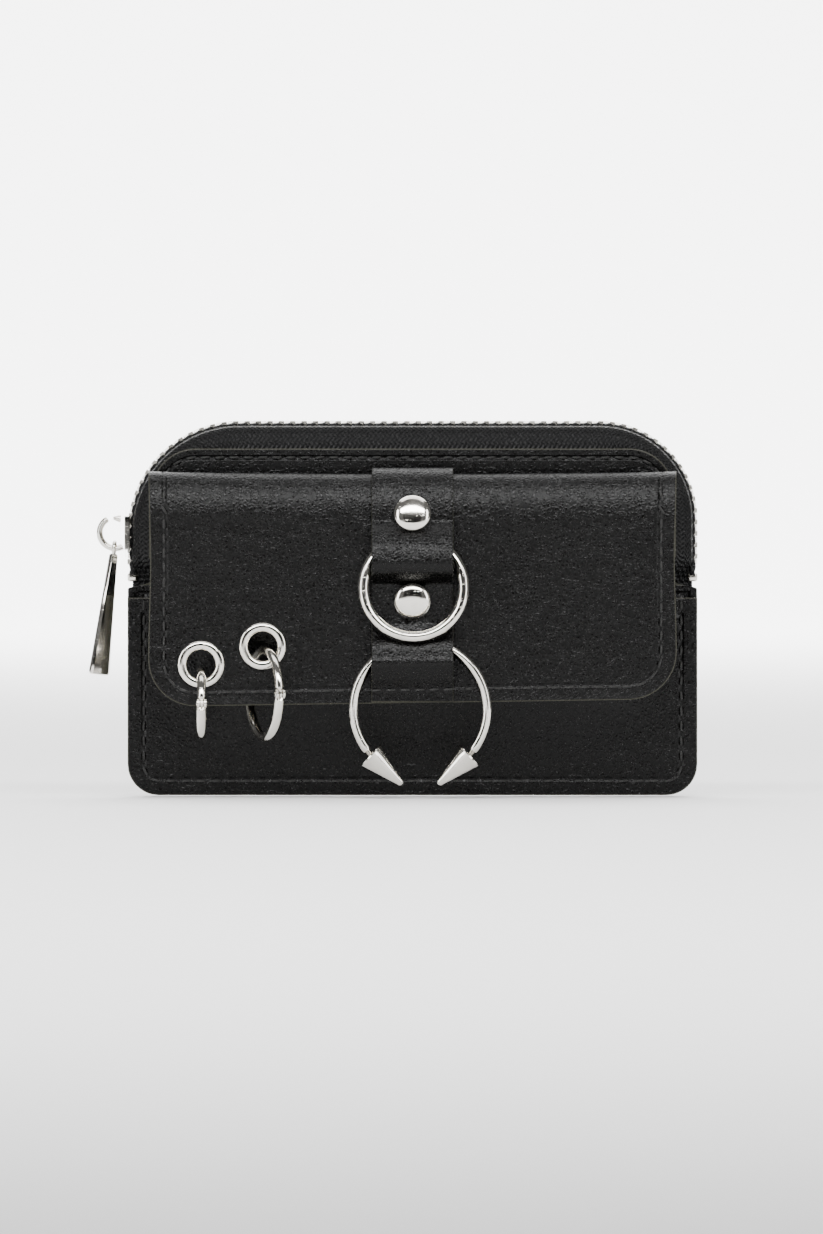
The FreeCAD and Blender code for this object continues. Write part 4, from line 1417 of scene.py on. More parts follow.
@dataclass
class Strap:
    """Strap down the middle of the flap, over the ring and over the bar."""

    finishes: Finishes
    flap: Flap
    half: float = 8.6
    low: float = 19.9
    gap: float = 0.1
    thickness: float = 1.2
    roll_end: float = 128.0
    rise: list[tuple[float, float]] = field(default_factory=lambda: [
        (19.0, 0.0), (22.0, 0.0), (25.2, 2.3), (28.3, 4.0), (31.0, 2.9), (32.6, 2.2),
        (33.8, 1.2), (35.6, 0.3), (37.2, 0.0), (44.4, 0.0), (45.7, 1.8), (47.3, 3.9),
        (49.2, 4.6), (52.0, 4.1), (54.4, 2.9), (56.0, 1.7), (57.4, 0.3), (58.0, 0.0),
        (70.0, 0.0)])

    def front(self, z: float) -> float:
        """Depth of the strap's good side on the flat of the flap."""
        return self.flap.front_y - self.gap - self.thickness - through(self.rise, z)

    def leather(self) -> bpy.types.Object:
        """The strap in one sheet."""
        f = self.flap
        line: list[tuple[float, float]] = []
        z = self.low
        while z < f.centre_z:
            line.append((self.front(z), z))
            z += 0.45
        out = self.gap + self.thickness
        for k in range(33):
            a = math.radians(self.roll_end * k / 32)
            line.append((f.mid_y - (f.half_depth + out) * math.cos(a),
                         f.centre_z + (f.rise + out) * math.sin(a)))
        runs = [0.0]
        for a, b in zip(line, line[1:]):
            runs.append(runs[-1] + math.hypot(b[0] - a[0], b[1] - a[1]))
        columns = [-1.0, -0.985, -0.95, -0.88, -0.75, -0.55, -0.3, 0.0, 0.3, 0.55, 0.75, 0.88,
                   0.95, 0.985, 1.0]
        at = {round(r, 6): p for r, p in zip(runs, line)}

        def place(u: float, r: float) -> Point:
            """Point of the good side."""
            y, z = at[round(r, 6)]
            lifted = smooth(max(0.0, f.front_y - y - 1.4) / 3.0) if z < f.centre_z else 0.0
            x = u * (self.half - 0.06 + 0.05 * wave(0, z * 3, 1.0))
            crown = 0.35 * lifted * (1 - u * u) + 0.08 * wave(x * 2, z * 2, 2.0) * lifted
            if z < f.centre_z:
                y -= crown
            return (x, y, z + f.skew(x, z))

        piece = cut_sheet("strap_leather", columns, runs, place, self.thickness)
        wear(piece, "Edge", lambda p: max(0.0, min(self.half - abs(p.x) + 0.1,
                                                    p.z - self.low if p.y < -12 else 99.0)))
        laid_flat(piece, lambda _, old: (old.x * self.half + 0.3, old.y + 0.2))
        dress(piece, self.finishes.strap, "leather")
        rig.replaces(piece, "strap", "strap_fold")
        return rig.blend(piece, "wallet_body", "flap", *f.bend)

    def stitches(self) -> list[tuple[Vector, Vector, Vector]]:
        """The flap's lowest row of stitches, where it crosses the strap."""
        z = self.flap.low + self.flap.stitch_up
        places = [self.flap.stitch_pitch * (k - 2.5) for k in range(6)]
        return [(Vector((x, self.front(z), z + self.flap.skew(x, z))), Vector((1, 0, 0)),
                 Vector((0, -1, 0))) for x in places]


# ---- hardware ------------------------------------------------------------------------------------


def arc(centre: Vector, radius: float, start: float, end: float, across: Vector, up: Vector,
        count: int) -> list[Vector]:
    """Points along an arc.

    Args:
        centre: its centre.
        radius: its radius.
        start: angle of its first point, in degrees from across towards up.
        end: angle of its last point.
        across: unit direction of angle 0.
        up: unit direction of angle 90.
        count: how many steps.

    Returns:
        The points.
    """
    found = []
    for k in range(count + 1):
        a = math.radians(lerp(start, end, k / count))
        found.append(centre + (across * math.cos(a) + up * math.sin(a)) * radius)
    return found


@dataclass
class Rivets:
    """Two domed rivets through strap and flap."""

    finishes: Finishes
    strap: Strap
    radius: float = 3.9
    height: float = 1.7
    seats: tuple[tuple[float, float], ...] = ((59.4, 16.0), (41.0, -6.0))

    def build(self) -> list[bpy.types.Object]:
        """Both caps, each with its post, as one piece."""
        caps = []
        f = self.strap.flap
        for k, (z, tilt) in enumerate(self.seats):
            lift = self.radius * math.tan(math.radians(abs(tilt))) + 0.05
            seat = f.front_y - self.strap.gap - self.strap.thickness - lift
            axis = Vector((0, -math.cos(math.radians(tilt)), math.sin(math.radians(tilt))))
            profile = [(0.0, 0.3), (-0.25, self.radius * 0.6), (0.0, self.radius - 0.25),
                       (0.12, self.radius - 0.05), (0.35, self.radius)]
            for j in range(1, 13):
                a = math.pi / 2 * j / 12
                profile.append((0.35 + (self.height - 0.35) * math.sin(a) ** 1.15,
                                self.radius * math.cos(a) ** 0.85))
            centre = Vector((0, seat, z))
            caps.append(turned("rivet_dome_%d" % k, profile, centre, axis, 56))
            post = [Vector((0, seat + 0.2, z)), Vector((0, f.front_y + 2.0, z))]
            caps.append(wire("rivet_post_%d" % k, post, 1.25))
        piece = joined("rivet_domes", caps)
        return [mounted(piece, self.finishes.nickel, "hardware", "flap", "rivet_caps")]


@dataclass
class Rings:
    """Plain ring and spiked open bar under the strap."""

    finishes: Finishes
    ring_radius: float = 10.5
    ring_wire: float = 2.4
    ring_top: Point = (0.25, -17.9, 54.3)
    ring_lean: float = 10.0
    bar_radius: float = 14.0
    bar_wire: float = 2.0
    bar_top: Point = (1.6, -17.7, 32.4)
    bar_end: float = 38.0
    spike_length: float = 9.2
    spike_radius: float = 3.05
    toe_in: float = 9.0

    def ring(self) -> bpy.types.Object:
        """Plain ring with a faint weld."""
        lean = math.radians(self.ring_lean)
        up = Vector((0, math.sin(lean), math.cos(lean)))
        top = Vector(self.ring_top)
        centre = top - up * self.ring_radius
        path = arc(centre, self.ring_radius, 0, 360, Vector((1, 0, 0)), up, 120)
        radii = [self.ring_wire / 2 * (1 + 0.012 * math.exp(-((k - 92) / 1.3) ** 2))
                 for k in range(121)]
        piece = wire("plain_ring", path, radii, 28, closed=True)
        return mounted(piece, self.finishes.nickel, "hardware", "o_ring", "o_ring")

    def bar(self) -> list[bpy.types.Object]:
        """Open bar with threaded ends, and a spike on each."""
        centre = Vector(self.bar_top) - Vector((0, 0, self.bar_radius))
        x, z = Vector((1, 0, 0)), Vector((0, 0, 1))
        path = arc(centre, self.bar_radius, -self.bar_end, 180 + self.bar_end, x, z, 96)
        radii = [self.bar_wire / 2] * len(path)
        radii[0] = radii[-1] = self.bar_wire * 0.42
        parts = [wire("bar_wire", path, radii, 24)]
        spikes = []
        for side in (1, -1):
            a = math.radians(self.bar_end)
            radial = Vector((side * math.cos(a), 0, -math.sin(a)))
            along = Vector((-side * math.sin(a), 0, -math.cos(a)))
            root = centre + radial * self.bar_radius
            neck = []
            for k in range(13):
                neck.append((0.12 * k - 0.1, 0.68 if k % 2 else 0.56))
            parts.append(turned("bar_thread_%d" % side, neck, root, along, 20))
            turn = Matrix.Rotation(math.radians(side * self.toe_in), 3, "Y")
            axis = turn @ along
            base = root + along * 1.05
            r, long = self.spike_radius, self.spike_length
            profile = [(0.12, 0.62), (0.0, 1.0), (0.0, r - 0.35), (0.08, r - 0.12), (0.3, r),
                       (0.55, r * 0.965)]
            for j in range(1, 9):
                t = 0.55 + (long - 1.3) * j / 8
                profile.append((t, lerp(r * 0.965, 0.74, j / 8)))
            for j in range(1, 6):
                b = math.pi / 2 * j / 5
                profile.append((long - 0.75 + 0.68 * math.sin(b), 0.74 * math.cos(b)))
            hand = "right" if side > 0 else "left"
            spike = turned("spike_cone_" + hand, profile, base, axis, 48)
            spikes.append(mounted(spike, self.finishes.nickel, "hardware", "horseshoe",
                                  "spike_" + hand))
        piece = joined("open_bar", parts)
        mounted(piece, self.finishes.nickel, "hardware", "horseshoe", "horseshoe_bar")
        return [piece, *spikes]


@dataclass
class Hoop:
    """One eyelet with the hinged hoop that hangs in it."""

    finishes: Finishes
    side: str
    eye: tuple[float, float]
    radius: float
    centre: tuple[float, float]
    swivel: float
    front_y: float = -16.65
    back_y: float = -14.85
    hole: float = 3.0
    flange: float = 5.0
    wire_radius: float = 0.95
    gate_radius: float = 1.05

    def eyelet(self) -> list[bpy.types.Object]:
        """Rolled flange and barrel, and the washer behind."""
        x, z = self.eye
        seat = -0.05
        barrel = self.hole + 0.35
        profile = [(seat, barrel), (seat, self.flange - 0.15)]
        for j in range(0, 13):
            a = math.pi * j / 12
            middle_r = (self.flange + self.hole) / 2
            half_r = (self.flange - self.hole) / 2
            profile.append((seat + 0.1 + 0.75 * math.sin(a) ** 0.8, middle_r + half_r * math.cos(a)))
        depth = self.back_y - self.front_y + 0.5
        profile += [(-depth, self.hole), (-depth, barrel)]
        centre = Vector((x, self.front_y, z))
        piece = turned("eyelet_ring_" + self.side, profile, centre, Vector((0, -1, 0)), 56, True)
        mounted(piece, self.finishes.nickel, "hardware", "flap", "eyelet_" + self.side)
        rim = [(-0.05, barrel + 0.05), (-0.05, self.flange - 0.1), (-0.15, self.flange),
               (-0.4, self.flange), (-0.55, self.flange - 0.15), (-0.55, barrel + 0.2),
               (-0.45, barrel + 0.05)]
        washer = turned("eyelet_back_" + self.side, rim, Vector((x, self.back_y, z)),
                        Vector((0, -1, 0)), 40, True)
        mounted(washer, self.finishes.nickel, "hardware", "flap", "eyelet_washer_" + self.side)
        return [piece, washer]

    def hoop(self) -> list[bpy.types.Object]:
        """Upper half with the hinge's middle knuckle, the pin, and the gate below."""
        t = math.radians(90 + self.swivel)
        across = Vector((math.cos(t), math.sin(t), 0))
        side = Vector((-math.sin(t), math.cos(t), 0))
        up = Vector((0, 0, 1))
        ahead = (self.front_y + self.back_y) / 2 - self.centre[0]
        x = self.eye[0] + ahead * math.tan(math.radians(self.swivel))
        centre = Vector((x, self.centre[0], self.centre[1]))
        knuckle = centre - across * self.radius
        clear = math.degrees(1.25 / self.radius)
        gap = math.degrees(0.16 / self.radius)
        top = wire("hoop_top_" + self.side,
                   arc(centre, self.radius, gap, 180 - clear, across, up, 60),
                   self.wire_radius, 22)
        low_path = arc(centre, self.radius, -gap, -180 + clear, across, up, 60)
        gate = wire("hoop_low_" + self.side, low_path, self.gate_radius, 22)
        barrel = [(-0.31, 0.86), (-0.25, 1.0), (0.25, 1.0), (0.31, 0.86)]
        mid = turned("knuckle_mid_" + self.side, barrel, knuckle, side, 24)
        sides = [turned("knuckle_%s_%d" % (self.side, k), barrel, knuckle + side * (0.7 * k), side,
                        24) for k in (-1, 1)]
        web = [knuckle + up * 0.35, knuckle + up * 1.5 + across * 0.08]
        mid_web = wire("web_mid_" + self.side, web, [0.3, 0.85], 16)
        low_webs = [wire("web_%s_%d" % (self.side, k),
                         [knuckle + side * (0.72 * k) - up * 0.35,
                          knuckle + side * (0.25 * k) - up * 1.6 + across * 0.1],
                         [0.3, 0.75], 16) for k in (-1, 1)]
        top = joined("hoop_upper_" + self.side, [top, mid, mid_web])
        low = joined("hoop_gate_" + self.side, [gate, *sides, *low_webs])
        head = [(-1.14, 0.26), (-1.12, 0.42), (-1.03, 0.5), (-0.98, 0.3), (0.98, 0.3),
                (1.03, 0.5), (1.12, 0.42), (1.14, 0.26)]
        pin = turned("hoop_rivet_" + self.side, head, knuckle, side, 20)
        upper = "hoop_" + self.side
        for piece, body, node in ((top, upper, upper + "_upper"), (low, upper + "_gate", upper + "_gate"),
                                  (pin, upper, upper + "_pin")):
            mounted(piece, self.finishes.nickel, "hardware", body, node)
        return [top, low, pin]


# ---- zip -----------------------------------------------------------------------------------------


@dataclass
class Zip:
    """Tapes, teeth and end stops of the zip that runs over the top and down both sides."""

    finishes: Finishes
    body: Body
    top: float = 77.8
    half: float = 59.0
    left: float = 22.5
    right: float = 19.6
    pitch: float = 2.4
    root: float = 1.45
    first: float = 3.4
    pivot_above_end: float = 9.0
    tuck: float = 8.0

    def _stretches(self) -> list[float]:
        """Lengths of the zip's straight and bent stretches."""
        end = self.body.zip_end
        return [self.top - self.left - end, self.left * math.pi / 2,
                2 * self.half - self.left - self.right, self.right * math.pi / 2,
                self.top - self.right - end]

    def length(self) -> float:
        """Length of the zip."""
        return sum(self._stretches())

    def at(self, s: float) -> tuple[Vector, Vector, Vector]:
        """Point, direction and outward side of the zip's line at a distance from its left end."""
        a, b, c, d, _ = self._stretches()
        end, h = self.body.zip_end, self.half
        if s <= a:
            return Vector((-h, 0, end + s)), Vector((0, 0, 1)), Vector((-1, 0, 0))
        s -= a
        if s <= b:
            t = math.pi - s / self.left
            out = Vector((math.cos(t), 0, math.sin(t)))
            centre = Vector((-h + self.left, 0, self.top - self.left))
            return centre + out * self.left, Vector((out.z, 0, -out.x)), out
        s -= b
        if s <= c:
            return Vector((-h + self.left + s, 0, self.top)), Vector((1, 0, 0)), Vector((0, 0, 1))
        s -= c
        if s <= d:
            t = math.pi / 2 - s / self.right
            out = Vector((math.cos(t), 0, math.sin(t)))
            centre = Vector((h - self.right, 0, self.top - self.right))
            return centre + out * self.right, Vector((out.z, 0, -out.x)), out
        s -= d
        return Vector((h, 0, self.top - self.right - s)), Vector((0, 0, -1)), Vector((1, 0, 0))

    def _inside(self, p: Vector) -> float:
        """Depth of the inner face of a main panel at a place, less the tape's clearance."""
        return self.body.seam - self.body.leather + self.body.bulge(p.x, p.z) - 0.45

    def _section(self, s: float) -> list[tuple[float, float]]:
        """Tape's outer side across one place of the zip: (distance from its plane, depth in)."""
        point, _, out = self.at(s)
        inner = [self._inside(point - out * d) for d in (2.0, 4.0, 6.0, self.tuck)]
        start = self.root + 0.1
        flat = max(min(4.8, inner[1] - 0.4), start + 0.3)
        full = [(start, 0.0), ((start * 2 + flat) / 3, -0.03), ((start + flat * 2) / 3, 0.02),
                (flat, 0.3), ((flat * 2 + inner[0]) / 3 + 0.1, 0.85), ((flat + inner[0]) / 2, 1.6),
                (lerp(inner[0], inner[1], 0.5), 2.8), (inner[1], 4.0), (inner[2], 6.0),
                (inner[3], self.tuck)]
        closed = smooth(min(s, self.length() - s) / 4.6)
        return [(lerp(0.50, y, closed), lerp(0.9 * k, depth, closed))
                for k, (y, depth) in enumerate(full)]

    def tape(self, name: str, side: Facing, start: float, node: str, body: str) -> bpy.types.Object:
        """One tape.

        Args:
            name: the piece's name.
            side: front or back row.
            start: distance of its ends from the zip's ends.
            node: the frame node it stands for.
            body: the body it moves with.

        Returns:
            The piece.
        """
        way = side.value
        end = self.length() - start
        stations = [lerp(start, end, k / 130) for k in range(131)]
        sections = {round(s, 5): self._section(s) for s in stations}
        count = len(sections[round(start, 5)])

        def place(s: float, j: float) -> Point:
            """Point of the tape's outer side."""
            point, _, out = self.at(s)
            y, depth = sections[round(s, 5)][int(j) if way > 0 else count - 1 - int(j)]
            p = point + Vector((0, way * y, 0)) - out * depth
            return (p.x, p.y, p.z)

        piece = cut_sheet(name, stations, [float(j) for j in range(count)], place, 0.5, 0.0)
        laid_flat(piece, lambda _, old: (old.y * 0.9, old.x))
        return mounted(piece, self.finishes.tape, "zip_tape", body, node)

    def cord(self, name: str, side: Facing, start: float, body: str) -> bpy.types.Object:
        """Corded edge of a tape, which shows between its teeth.

        Args:
            name: the piece's name.
            side: front or back row.
            start: distance of its ends from the zip's ends.
            body: the body it moves with.

        Returns:
            The piece.
        """
        end = self.length() - start
        path = []
        radii = []
        count = round((end - start) / (self.pitch / 4))
        for k in range(count + 1):
            s = lerp(start, end, k / count)
            point, _, _ = self.at(s)
            path.append(point + Vector((0, side.value * (self.root + 0.45), 0)))
            radii.append(0.66 + 0.14 * math.cos(2 * math.pi * k / 4))
        piece = wire(name, path, radii, 10)
        laid_flat(piece, lambda co, _: (co.x + co.y, co.z + co.y))
        return mounted(piece, self.finishes.tape, "zip_tape", body)

    def _tooth(self) -> bpy.types.Object:
        """One tooth at the origin: X along the zip, Y from the middle to its tape, Z out."""
        settle()
        bpy.ops.mesh.primitive_cube_add(size=1.0)
        piece = added("tooth")
        for v in piece.data.vertices:
            near = v.co.y < 0
            v.co = Vector((v.co.x * (0.86 if near else 1.16),
                           -0.62 if near else self.root + 1.0,
                           v.co.z * (1.5 if near else 2.3))) * MM
        bpy.ops.object.mode_set(mode="EDIT")
        bpy.ops.mesh.select_mode(type="FACE")
        bpy.ops.mesh.select_all(action="DESELECT")
        net = bmesh.from_edit_mesh(piece.data)
        net.faces.ensure_lookup_table()
        for f in net.faces:
            f.select = abs(f.normal.z) > 0.8
        bmesh.update_edit_mesh(piece.data)
        bpy.ops.mesh.inset(thickness=0.22 * MM, depth=-0.1 * MM, use_individual=True)
        bpy.ops.object.mode_set(mode="OBJECT")
        return softened(piece, 0.16, 1, 50)

    def teeth(self) -> list[bpy.types.Object]:
        """Rows of teeth, one piece for each body they move with, and the end stops."""
        master = self._tooth()
        usable = self.length() - 2 * self.first
        count = int(usable / self.pitch)
        start = self.first + (usable - (count - 0.5) * self.pitch) / 2
        rows: dict[str, list[bpy.types.Object]] = {"front": [], "back": [], "pivot": []}
        pivot = self.body.zip_end + self.pivot_above_end
        shake = random.Random(11)
        for i in range(count):
            for way, shift in ((-1, 0.0), (1, self.pitch / 2)):
                point, along, out = self.at(start + i * self.pitch + shift)
                lean = out * shake.uniform(-0.03, 0.03)
                run = (along + lean) * way
                x = run.normalized() * -1.0
                y = Vector((0, way, 0))
                turn = Matrix((x, y, x.cross(y))).transposed().to_4x4()
                row = "front" if way < 0 else ("back" if point.z > pivot else "pivot")
                rows[row].append(copied(master, Matrix.Translation(point * MM) @ turn))
        bpy.data.objects.remove(master)
        made = []
        for row, body in (("front", "wallet_body"), ("back", "mouth"), ("pivot", "wallet_body")):
            made.append(mounted(joined("zip_row_" + row, rows[row]), self.finishes.zip_metal,
                                "zip_metal", body, row + "_teeth"))
        for side, x in (("left", -self.half), ("right", self.half)):
            settle()
            z = self.body.zip_end + 1.5
            bpy.ops.mesh.primitive_cube_add(size=1.0, location=(x * MM, 0, z * MM),
                                            scale=(2.1 * MM, 2.8 * MM, 1.75 * MM))
            stop = softened(added("zip_end_" + side), 0.45, 3)
            made.append(mounted(stop, self.finishes.zip_metal, "zip_metal", "wallet_body",
                                "zip_stop_" + side))
        return made


@dataclass
class Slider:
    """Slider with its bridge, lock pin and hanging pull."""

    finishes: Finishes
    z: float = 55.3
    line_x: float = -59.0
    length: float = 10.6
    wide: float = 4.2
    narrow: float = 3.3
    out: float = 1.45
    plate: float = 1.0
    inner: float = 1.95
    bridge_radius: float = 3.3
    bridge_offset: float = 1.2
    bridge_wire: float = 0.65
    pull_rest: float = 4.0
    pull_lean: float = 7.0
    pull_turn: float = 32.0
    pull_length: float = 25.6
    eye_radius: float = 1.2
    eye_wire: float = 0.45

    def _plate(self, name: str, wide: float, narrow: float, x_from: float,
               x_to: float) -> bpy.types.Object:
        """A plate across X, wide at its foot and narrow at its head."""
        half = self.length / 2
        side = [(-half, 0.0), (-half, wide * 0.72), (-half + 0.45, wide * 0.93),
                (-half * 0.75, wide), (-half * 0.2, wide), (half * 0.35, narrow),
                (half - 0.9, narrow), (half - 0.3, narrow * 0.85), (half, narrow * 0.6)]
        outline = [(z, y) for z, y in side] + [(z, -y) for z, y in reversed(side[1:])]
        rings = [[Vector((x, y, self.z + z)) for z, y in outline] for x in (x_from, x_to)]
        return softened(loft(name, rings), 0.28, 3)

    def build(self) -> list[bpy.types.Object]:
        """Both plates, the rails, the bridge and the pin."""
        under = self.line_x - self.out
        outer = under - self.plate
        top = self._plate("slider_shell", self.wide, self.narrow, outer, under)
        rails = []
        for way in (-1, 1):
            path = [(-3.6, self.wide - 0.45), (-1.0, self.wide - 0.45), (1.8, self.narrow - 0.3),
                    (3.6, self.narrow - 0.3)]
            rings = []
            for z, y in path:
                rings.append([Vector((under + a, way * (y + b), self.z + z))
                              for a, b in ((-0.2, -0.35), (0.95, -0.28), (0.95, 0.28), (-0.2, 0.35))])
            rails.append(softened(loft("slider_rail_%d" % way, rings), 0.12, 2))
        bridge_x = outer - self.bridge_offset
        foot = math.degrees(math.asin(self.bridge_offset / self.bridge_radius))
        centre = Vector((bridge_x, 0, self.z))
        path = arc(centre, self.bridge_radius, 120, 270 + foot + 6, Vector((1, 0, 0)),
                   Vector((0, 0, 1)), 48)
        radii = [self.bridge_wire * (0.82 if k == 0 else 1.0) for k in range(len(path))]
        bridge = wire("slider_bridge", path, radii, 22)
        for v in bridge.data.vertices:
            v.co.y *= 1.45
        shell = joined("slider_body", [top, *rails, bridge])
        pin_at = Vector((outer - 0.05, 0, self.z + self.bridge_radius - 0.4))
        pin = turned("slider_pin", [(0.0, 0.6), (0.05, 0.74), (0.5, 0.7), (1.2, 0.45), (1.5, 0.36),
                                    (1.6, 0.2)], pin_at, Vector((-1, 0, 0.1)), 24)
        inner_x = self.line_x + self.inner
        inner = self._plate("slider_inside", 3.3, 2.7, inner_x, inner_x + 0.9)
        return [mounted(piece, self.finishes.nickel, "hardware", "zip_slider", node)
                for piece, node in ((shell, "slider_plate"), (pin, "slider_lock_pin"),
                                    (inner, "slider_inner_plate"))]

    def pull(self) -> bpy.types.Object:
        """Eye round the bridge and the long tapered tab."""
        outer = self.line_x - self.out - self.plate
        rest = math.radians(self.pull_rest)
        bridge_x = outer - self.bridge_offset
        centre = Vector((bridge_x - self.bridge_radius * math.sin(rest), 0,
                         self.z - self.bridge_radius * math.cos(rest)))
        line = Vector((math.cos(rest), 0, -math.sin(rest)))
        up = Vector((0, 1, 0)).cross(line)
        loop = arc(centre, self.eye_radius, 0, 360, Vector((0, 1, 0)), up, 40)
        eye = wire("pull_eye", loop, self.eye_wire, 16, True)
        lean = math.radians(self.pull_lean)
        down = Vector((-math.sin(lean), 0, -math.cos(lean)))
        root = centre + down * (self.eye_radius + 0.05)
        turn = math.radians(self.pull_turn)
        level = Vector((math.cos(lean), 0, -math.sin(lean)))
        wide_dir = level * math.cos(turn) + Vector((0, 1, 0)) * math.sin(turn)
        thin_dir = wide_dir.cross(down).normalized()
        rings = []
        for t, wide, thin in ((0.0, 0.62, 0.5), (0.012, 0.78, 0.68), (0.10, 0.90, 0.70),
                              (0.5, 1.5, 0.70), (0.9, 2.12, 0.70), (0.975, 2.26, 0.70),
                              (0.992, 2.18, 0.62), (1.0, 1.9, 0.42)):
            middle = root + down * (self.pull_length * t)
            corner = [(1, 0.55), (0.82, 1), (-0.82, 1), (-1, 0.55), (-1, -0.55), (-0.82, -1),
                      (0.82, -1), (1, -0.55)]
            rings.append([middle + wide_dir * (wide * a) + thin_dir * (thin * b)
                          for a, b in corner])
        tab = shaded(loft("pull_bar", rings), 28)
        piece = joined("pull", [eye, tab])
        return mounted(piece, self.finishes.nickel, "hardware", "zip_pull", "pull_tab")


# ---- studio --------------------------------------------------------------------------------------


@dataclass
class Studio:
    """Pale sweep, soft lights and the camera."""

    look_at: Point = (-0.2, -8.0, 37.6)
    distance: float = 2400.0
    elevation: float = 0.8
    view_height: float = 259.4
    floor_drop: float = 0.0004

    def sweep(self) -> bpy.types.Object:
        """Floor that curves up into a backdrop."""
        settle()
        bpy.ops.mesh.primitive_plane_add(size=1.0)
        piece = added("sweep")
        far, deep, high, bend = 3.4, 2.7, 2.6, 0.45
        front = -3.4
        corners = [(-far, front), (far, front), (-far, deep), (far, deep)]
        for v, (x, y) in zip(piece.data.vertices, corners):
            v.co = Vector((x, y, -self.floor_drop))
        bpy.ops.object.mode_set(mode="EDIT")
        bpy.ops.mesh.select_mode(type="EDGE")
        steps = 12
        for k in range(steps + 1):
            bpy.ops.mesh.select_all(action="DESELECT")
            net = bmesh.from_edit_mesh(piece.data)
            line = max((e for e in net.edges if abs(e.verts[0].co.y - e.verts[1].co.y) < 1e-6),
                       key=lambda e: e.verts[0].co.y + e.verts[0].co.z * 9)
            line.select = True
            bmesh.update_edit_mesh(piece.data)
            bpy.ops.mesh.extrude_region_move()
            net = bmesh.from_edit_mesh(piece.data)
            a = math.pi / 2 * min(k + 1, steps) / steps
            for v in net.verts:
                if v.select:
                    v.co.y = deep + bend * math.sin(a)
                    v.co.z = bend * (1 - math.cos(a)) + (high if k == steps else 0.0) - self.floor_drop
            bmesh.update_edit_mesh(piece.data)
        bpy.ops.object.mode_set(mode="OBJECT")
        shaded(piece, 60)
        dress(piece, Paper().made("Paper"), "leather")
        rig.stage(piece)
        return piece

    def cards(self) -> None:
        """Dark cards beside and behind the camera, which only the metal and leather mirror."""
        finish = Paper((0.012, 0.012, 0.012)).made("Card")
        places = (("card_left", (-1.75, -1.2, 0.45), (0.9, 1.6), 58.0),
                  ("card_right", (1.75, -1.2, 0.45), (0.9, 1.6), -58.0),
                  ("card_front", (0.0, -2.75, 0.55), (2.6, 1.9), 0.0))
        for name, place, (wide, high), turn in places:
            settle()
            bpy.ops.mesh.primitive_plane_add(size=1.0, location=place,
                                             rotation=(math.pi / 2, 0, math.radians(turn)))
            bpy.context.object.scale = (wide, high, 1.0)
            card = added(name)
            dress(card, finish, "leather")
            card.visible_camera = False
            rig.stage(card)

    def light(self, name: str, place: Point, size: tuple[float, float], power: float,
              aim_at: Point = (0.0, 0.0, 0.04)) -> None:
        """A soft rectangular light, placed and aimed in metres."""
        data = bpy.data.lights.new(name, "AREA")
        data.shape = "RECTANGLE"
        data.size, data.size_y = size
        data.energy = power
        lamp = bpy.data.objects.new(name, data)
        bpy.context.scene.collection.objects.link(lamp)
        lamp.location = place
        aim = Vector(aim_at) - Vector(place)
        lamp.rotation_euler = aim.to_track_quat("-Z", "Y").to_euler()

    def lights(self) -> None:
        """Lights above, one each side, two for the backdrop and the floor, and a dim surround."""
        self.light("high", (0.0, -1.05, 0.86), (1.7, 0.30), 34.0)
        self.light("top", (0.0, 0.05, 1.1), (1.3, 0.6), 8.0)
        self.light("left", (-1.0, -0.65, 0.30), (0.30, 0.9), 8.0)
        self.light("right", (1.0, -0.65, 0.30), (0.30, 0.9), 6.0)
        self.light("behind", (0.0, 2.10, 1.5), (2.2, 1.0), 170.0, (0.0, 3.1, 0.35))
        self.light("ground", (0.0, 1.35, 1.7), (2.6, 1.6), 75.0, (0.0, 1.35, 0.0))
        world = bpy.data.worlds.new("Surround")
        bpy.context.scene.world = world
        world.use_nodes = True
        ground = world.node_tree.nodes["Background"]
        ground.inputs["Color"].default_value = (1.0, 1.0, 1.0, 1.0)
        ground.inputs["Strength"].default_value = 0.16

    def camera(self) -> None:
        """The camera, far off with a long lens."""
        data = bpy.data.cameras.new("camera")
        lens = bpy.data.objects.new("camera", data)
        bpy.context.scene.collection.objects.link(lens)
        e = math.radians(self.elevation)
        target = Vector(self.look_at) * MM
        back = Vector((0, -math.cos(e), math.sin(e)))
        lens.location = target + back * self.distance * MM
        lens.rotation_euler = (-back).to_track_quat("-Z", "Y").to_euler()
        data.sensor_width = 36.0
        data.lens = 36.0 * self.distance / self.view_height
        data.clip_start, data.clip_end = 0.05, 50.0
        bpy.context.scene.camera = lens


# ---- assembly ------------------------------------------------------------------------------------


def keep_metal(finishes: Finishes) -> None:
    """Dresses the frame nodes that are shown as they are."""
    for node in ("snap_socket", "snap_socket_washer", "snap_stud", "rivet_backs"):
        piece = frame["nodes"][node]
        piece.data.materials.clear()
        piece.data.materials.append(finishes.nickel)


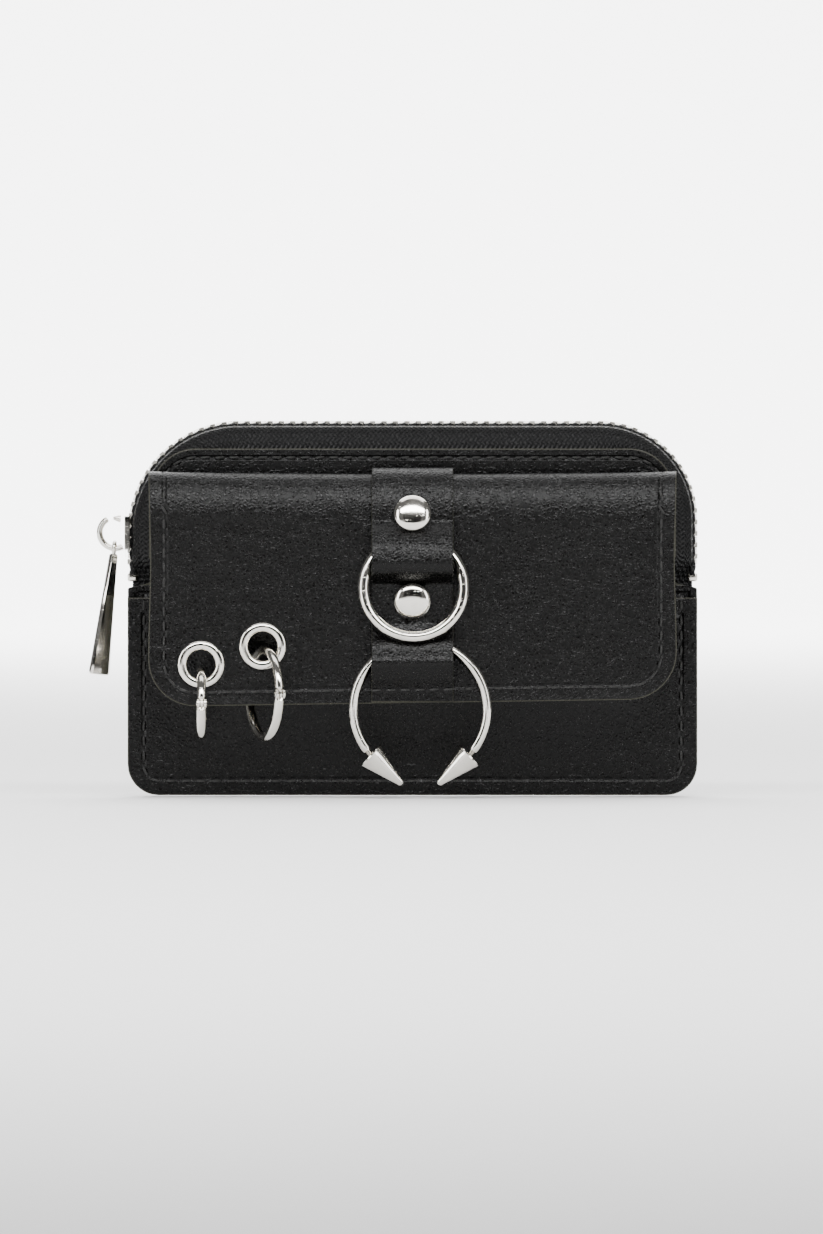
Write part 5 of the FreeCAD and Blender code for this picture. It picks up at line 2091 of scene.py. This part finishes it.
def sew(body: Body, flap: Flap, strap: Strap, finishes: Finishes) -> list[bpy.types.Object]:
    """Sews every visible row of stitches.

    Args:
        body: shape of the sewn body.
        flap: the flap.
        strap: the strap.
        finishes: the finishes.

    Returns:
        The rows.
    """
    work = Stitching(finishes)
    rows = []
    inset = body.seam_margin
    path = outline_path(body.half_width - inset, 3.0, body.pocket_top - 1.6,
                        body.foot_radius - 3.2, 3.2)

    def pocket(x: float, z: float) -> float:
        """Depth of the pocket's leather."""
        return -(body.pocket_seam + body.pocket_bulge(x, z))

    def back(x: float, z: float) -> float:
        """Depth of the back's leather."""
        return body.seam + body.bulge(x, z)

    def front(x: float, z: float) -> float:
        """Depth of the front panel's leather."""
        return -(body.seam + body.bulge(x, z))

    rows.append(work.row("pocket_stitches", on_surface(path, pocket), "wallet_body"))
    path = outline_path(body.half_width - inset, 3.0, body.zip_end - 1.6, body.foot_radius - 3.2,
                        3.2)
    rows.append(work.row("back_stitches_low", on_surface(path, back), "wallet_body"))
    over = []
    half, top, radius = body.half_width - body.upper_inset, body.panel_height, body.head_radius
    for p, along in outline_path(half - 1.9, -top + 1.9, -body.zip_end - 6.0, radius - 1.9, 3.0):
        over.append((Vector((p.x, 0, -p.z)), Vector((along.x, 0, -along.z))))
    rows.append(work.row("back_stitches_top", on_surface(over, back), "mouth"))
    rows.append(work.row("front_stitches", on_surface(over, front), "wallet_body"))
    rows.append(work.row("flap_stitches", flap.stitches(), "flap"))
    rows.append(work.row("strap_stitches", strap.stitches(), "flap"))
    return rows


def main() -> None:
    """Builds the wallet and its studio."""
    logging.basicConfig(level=logging.INFO, format="%(name)s: %(message)s")
    finishes = Finishes()
    body = Body()
    panels = Panels(body, finishes)
    flap = Flap(finishes)
    strap = Strap(finishes, flap)
    closure = Zip(finishes, body)
    slider = Slider(finishes)
    rings = Rings(finishes)
    made: list[bpy.types.Object] = [panels.front(), panels.back(), panels.pocket(),
                                    *panels.linings(), panels.seam_edges(), flap.leather(),
                                    flap.lining(), strap.leather()]
    made += Rivets(finishes, strap).build()
    made += [rings.ring(), *rings.bar()]
    hoops = (Hoop(finishes, "left", (-44.3, 27.8), 6.65, (-15.9, 19.75), 2.0),
             Hoop(finishes, "right", (-31.4, 31.6), 9.05, (-16.8, 21.75), 21.0))
    for hoop in hoops:
        made += hoop.eyelet() + hoop.hoop()
    made.append(closure.tape("front_tape_cloth", Facing.FRONT, -1.5, "front_tape", "wallet_body"))
    made.append(closure.tape("back_tape_cloth", Facing.BACK, 0.3, "back_tape", "mouth"))
    made.append(closure.cord("front_tape_cord", Facing.FRONT, 2.0, "wallet_body"))
    made.append(closure.cord("back_tape_cord", Facing.BACK, 9.0, "mouth"))
    made += closure.teeth()
    made += slider.build() + [slider.pull()]
    made += sew(body, flap, strap, finishes)
    keep_metal(finishes)
    for piece in made:
        log.info("%s: %d faces", piece.name, len(piece.data.polygons))
    studio = Studio()
    studio.sweep()
    studio.cards()
    studio.lights()
    studio.camera()
    settle()
    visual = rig.bounds()
    sizes = {"cad": [list(c) for c in CAD_BOX], "visual": [list(c) for c in visual]}
    with open("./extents.json", "w") as out:
        json.dump(sizes, out)


if __name__ == "__main__":
    main()
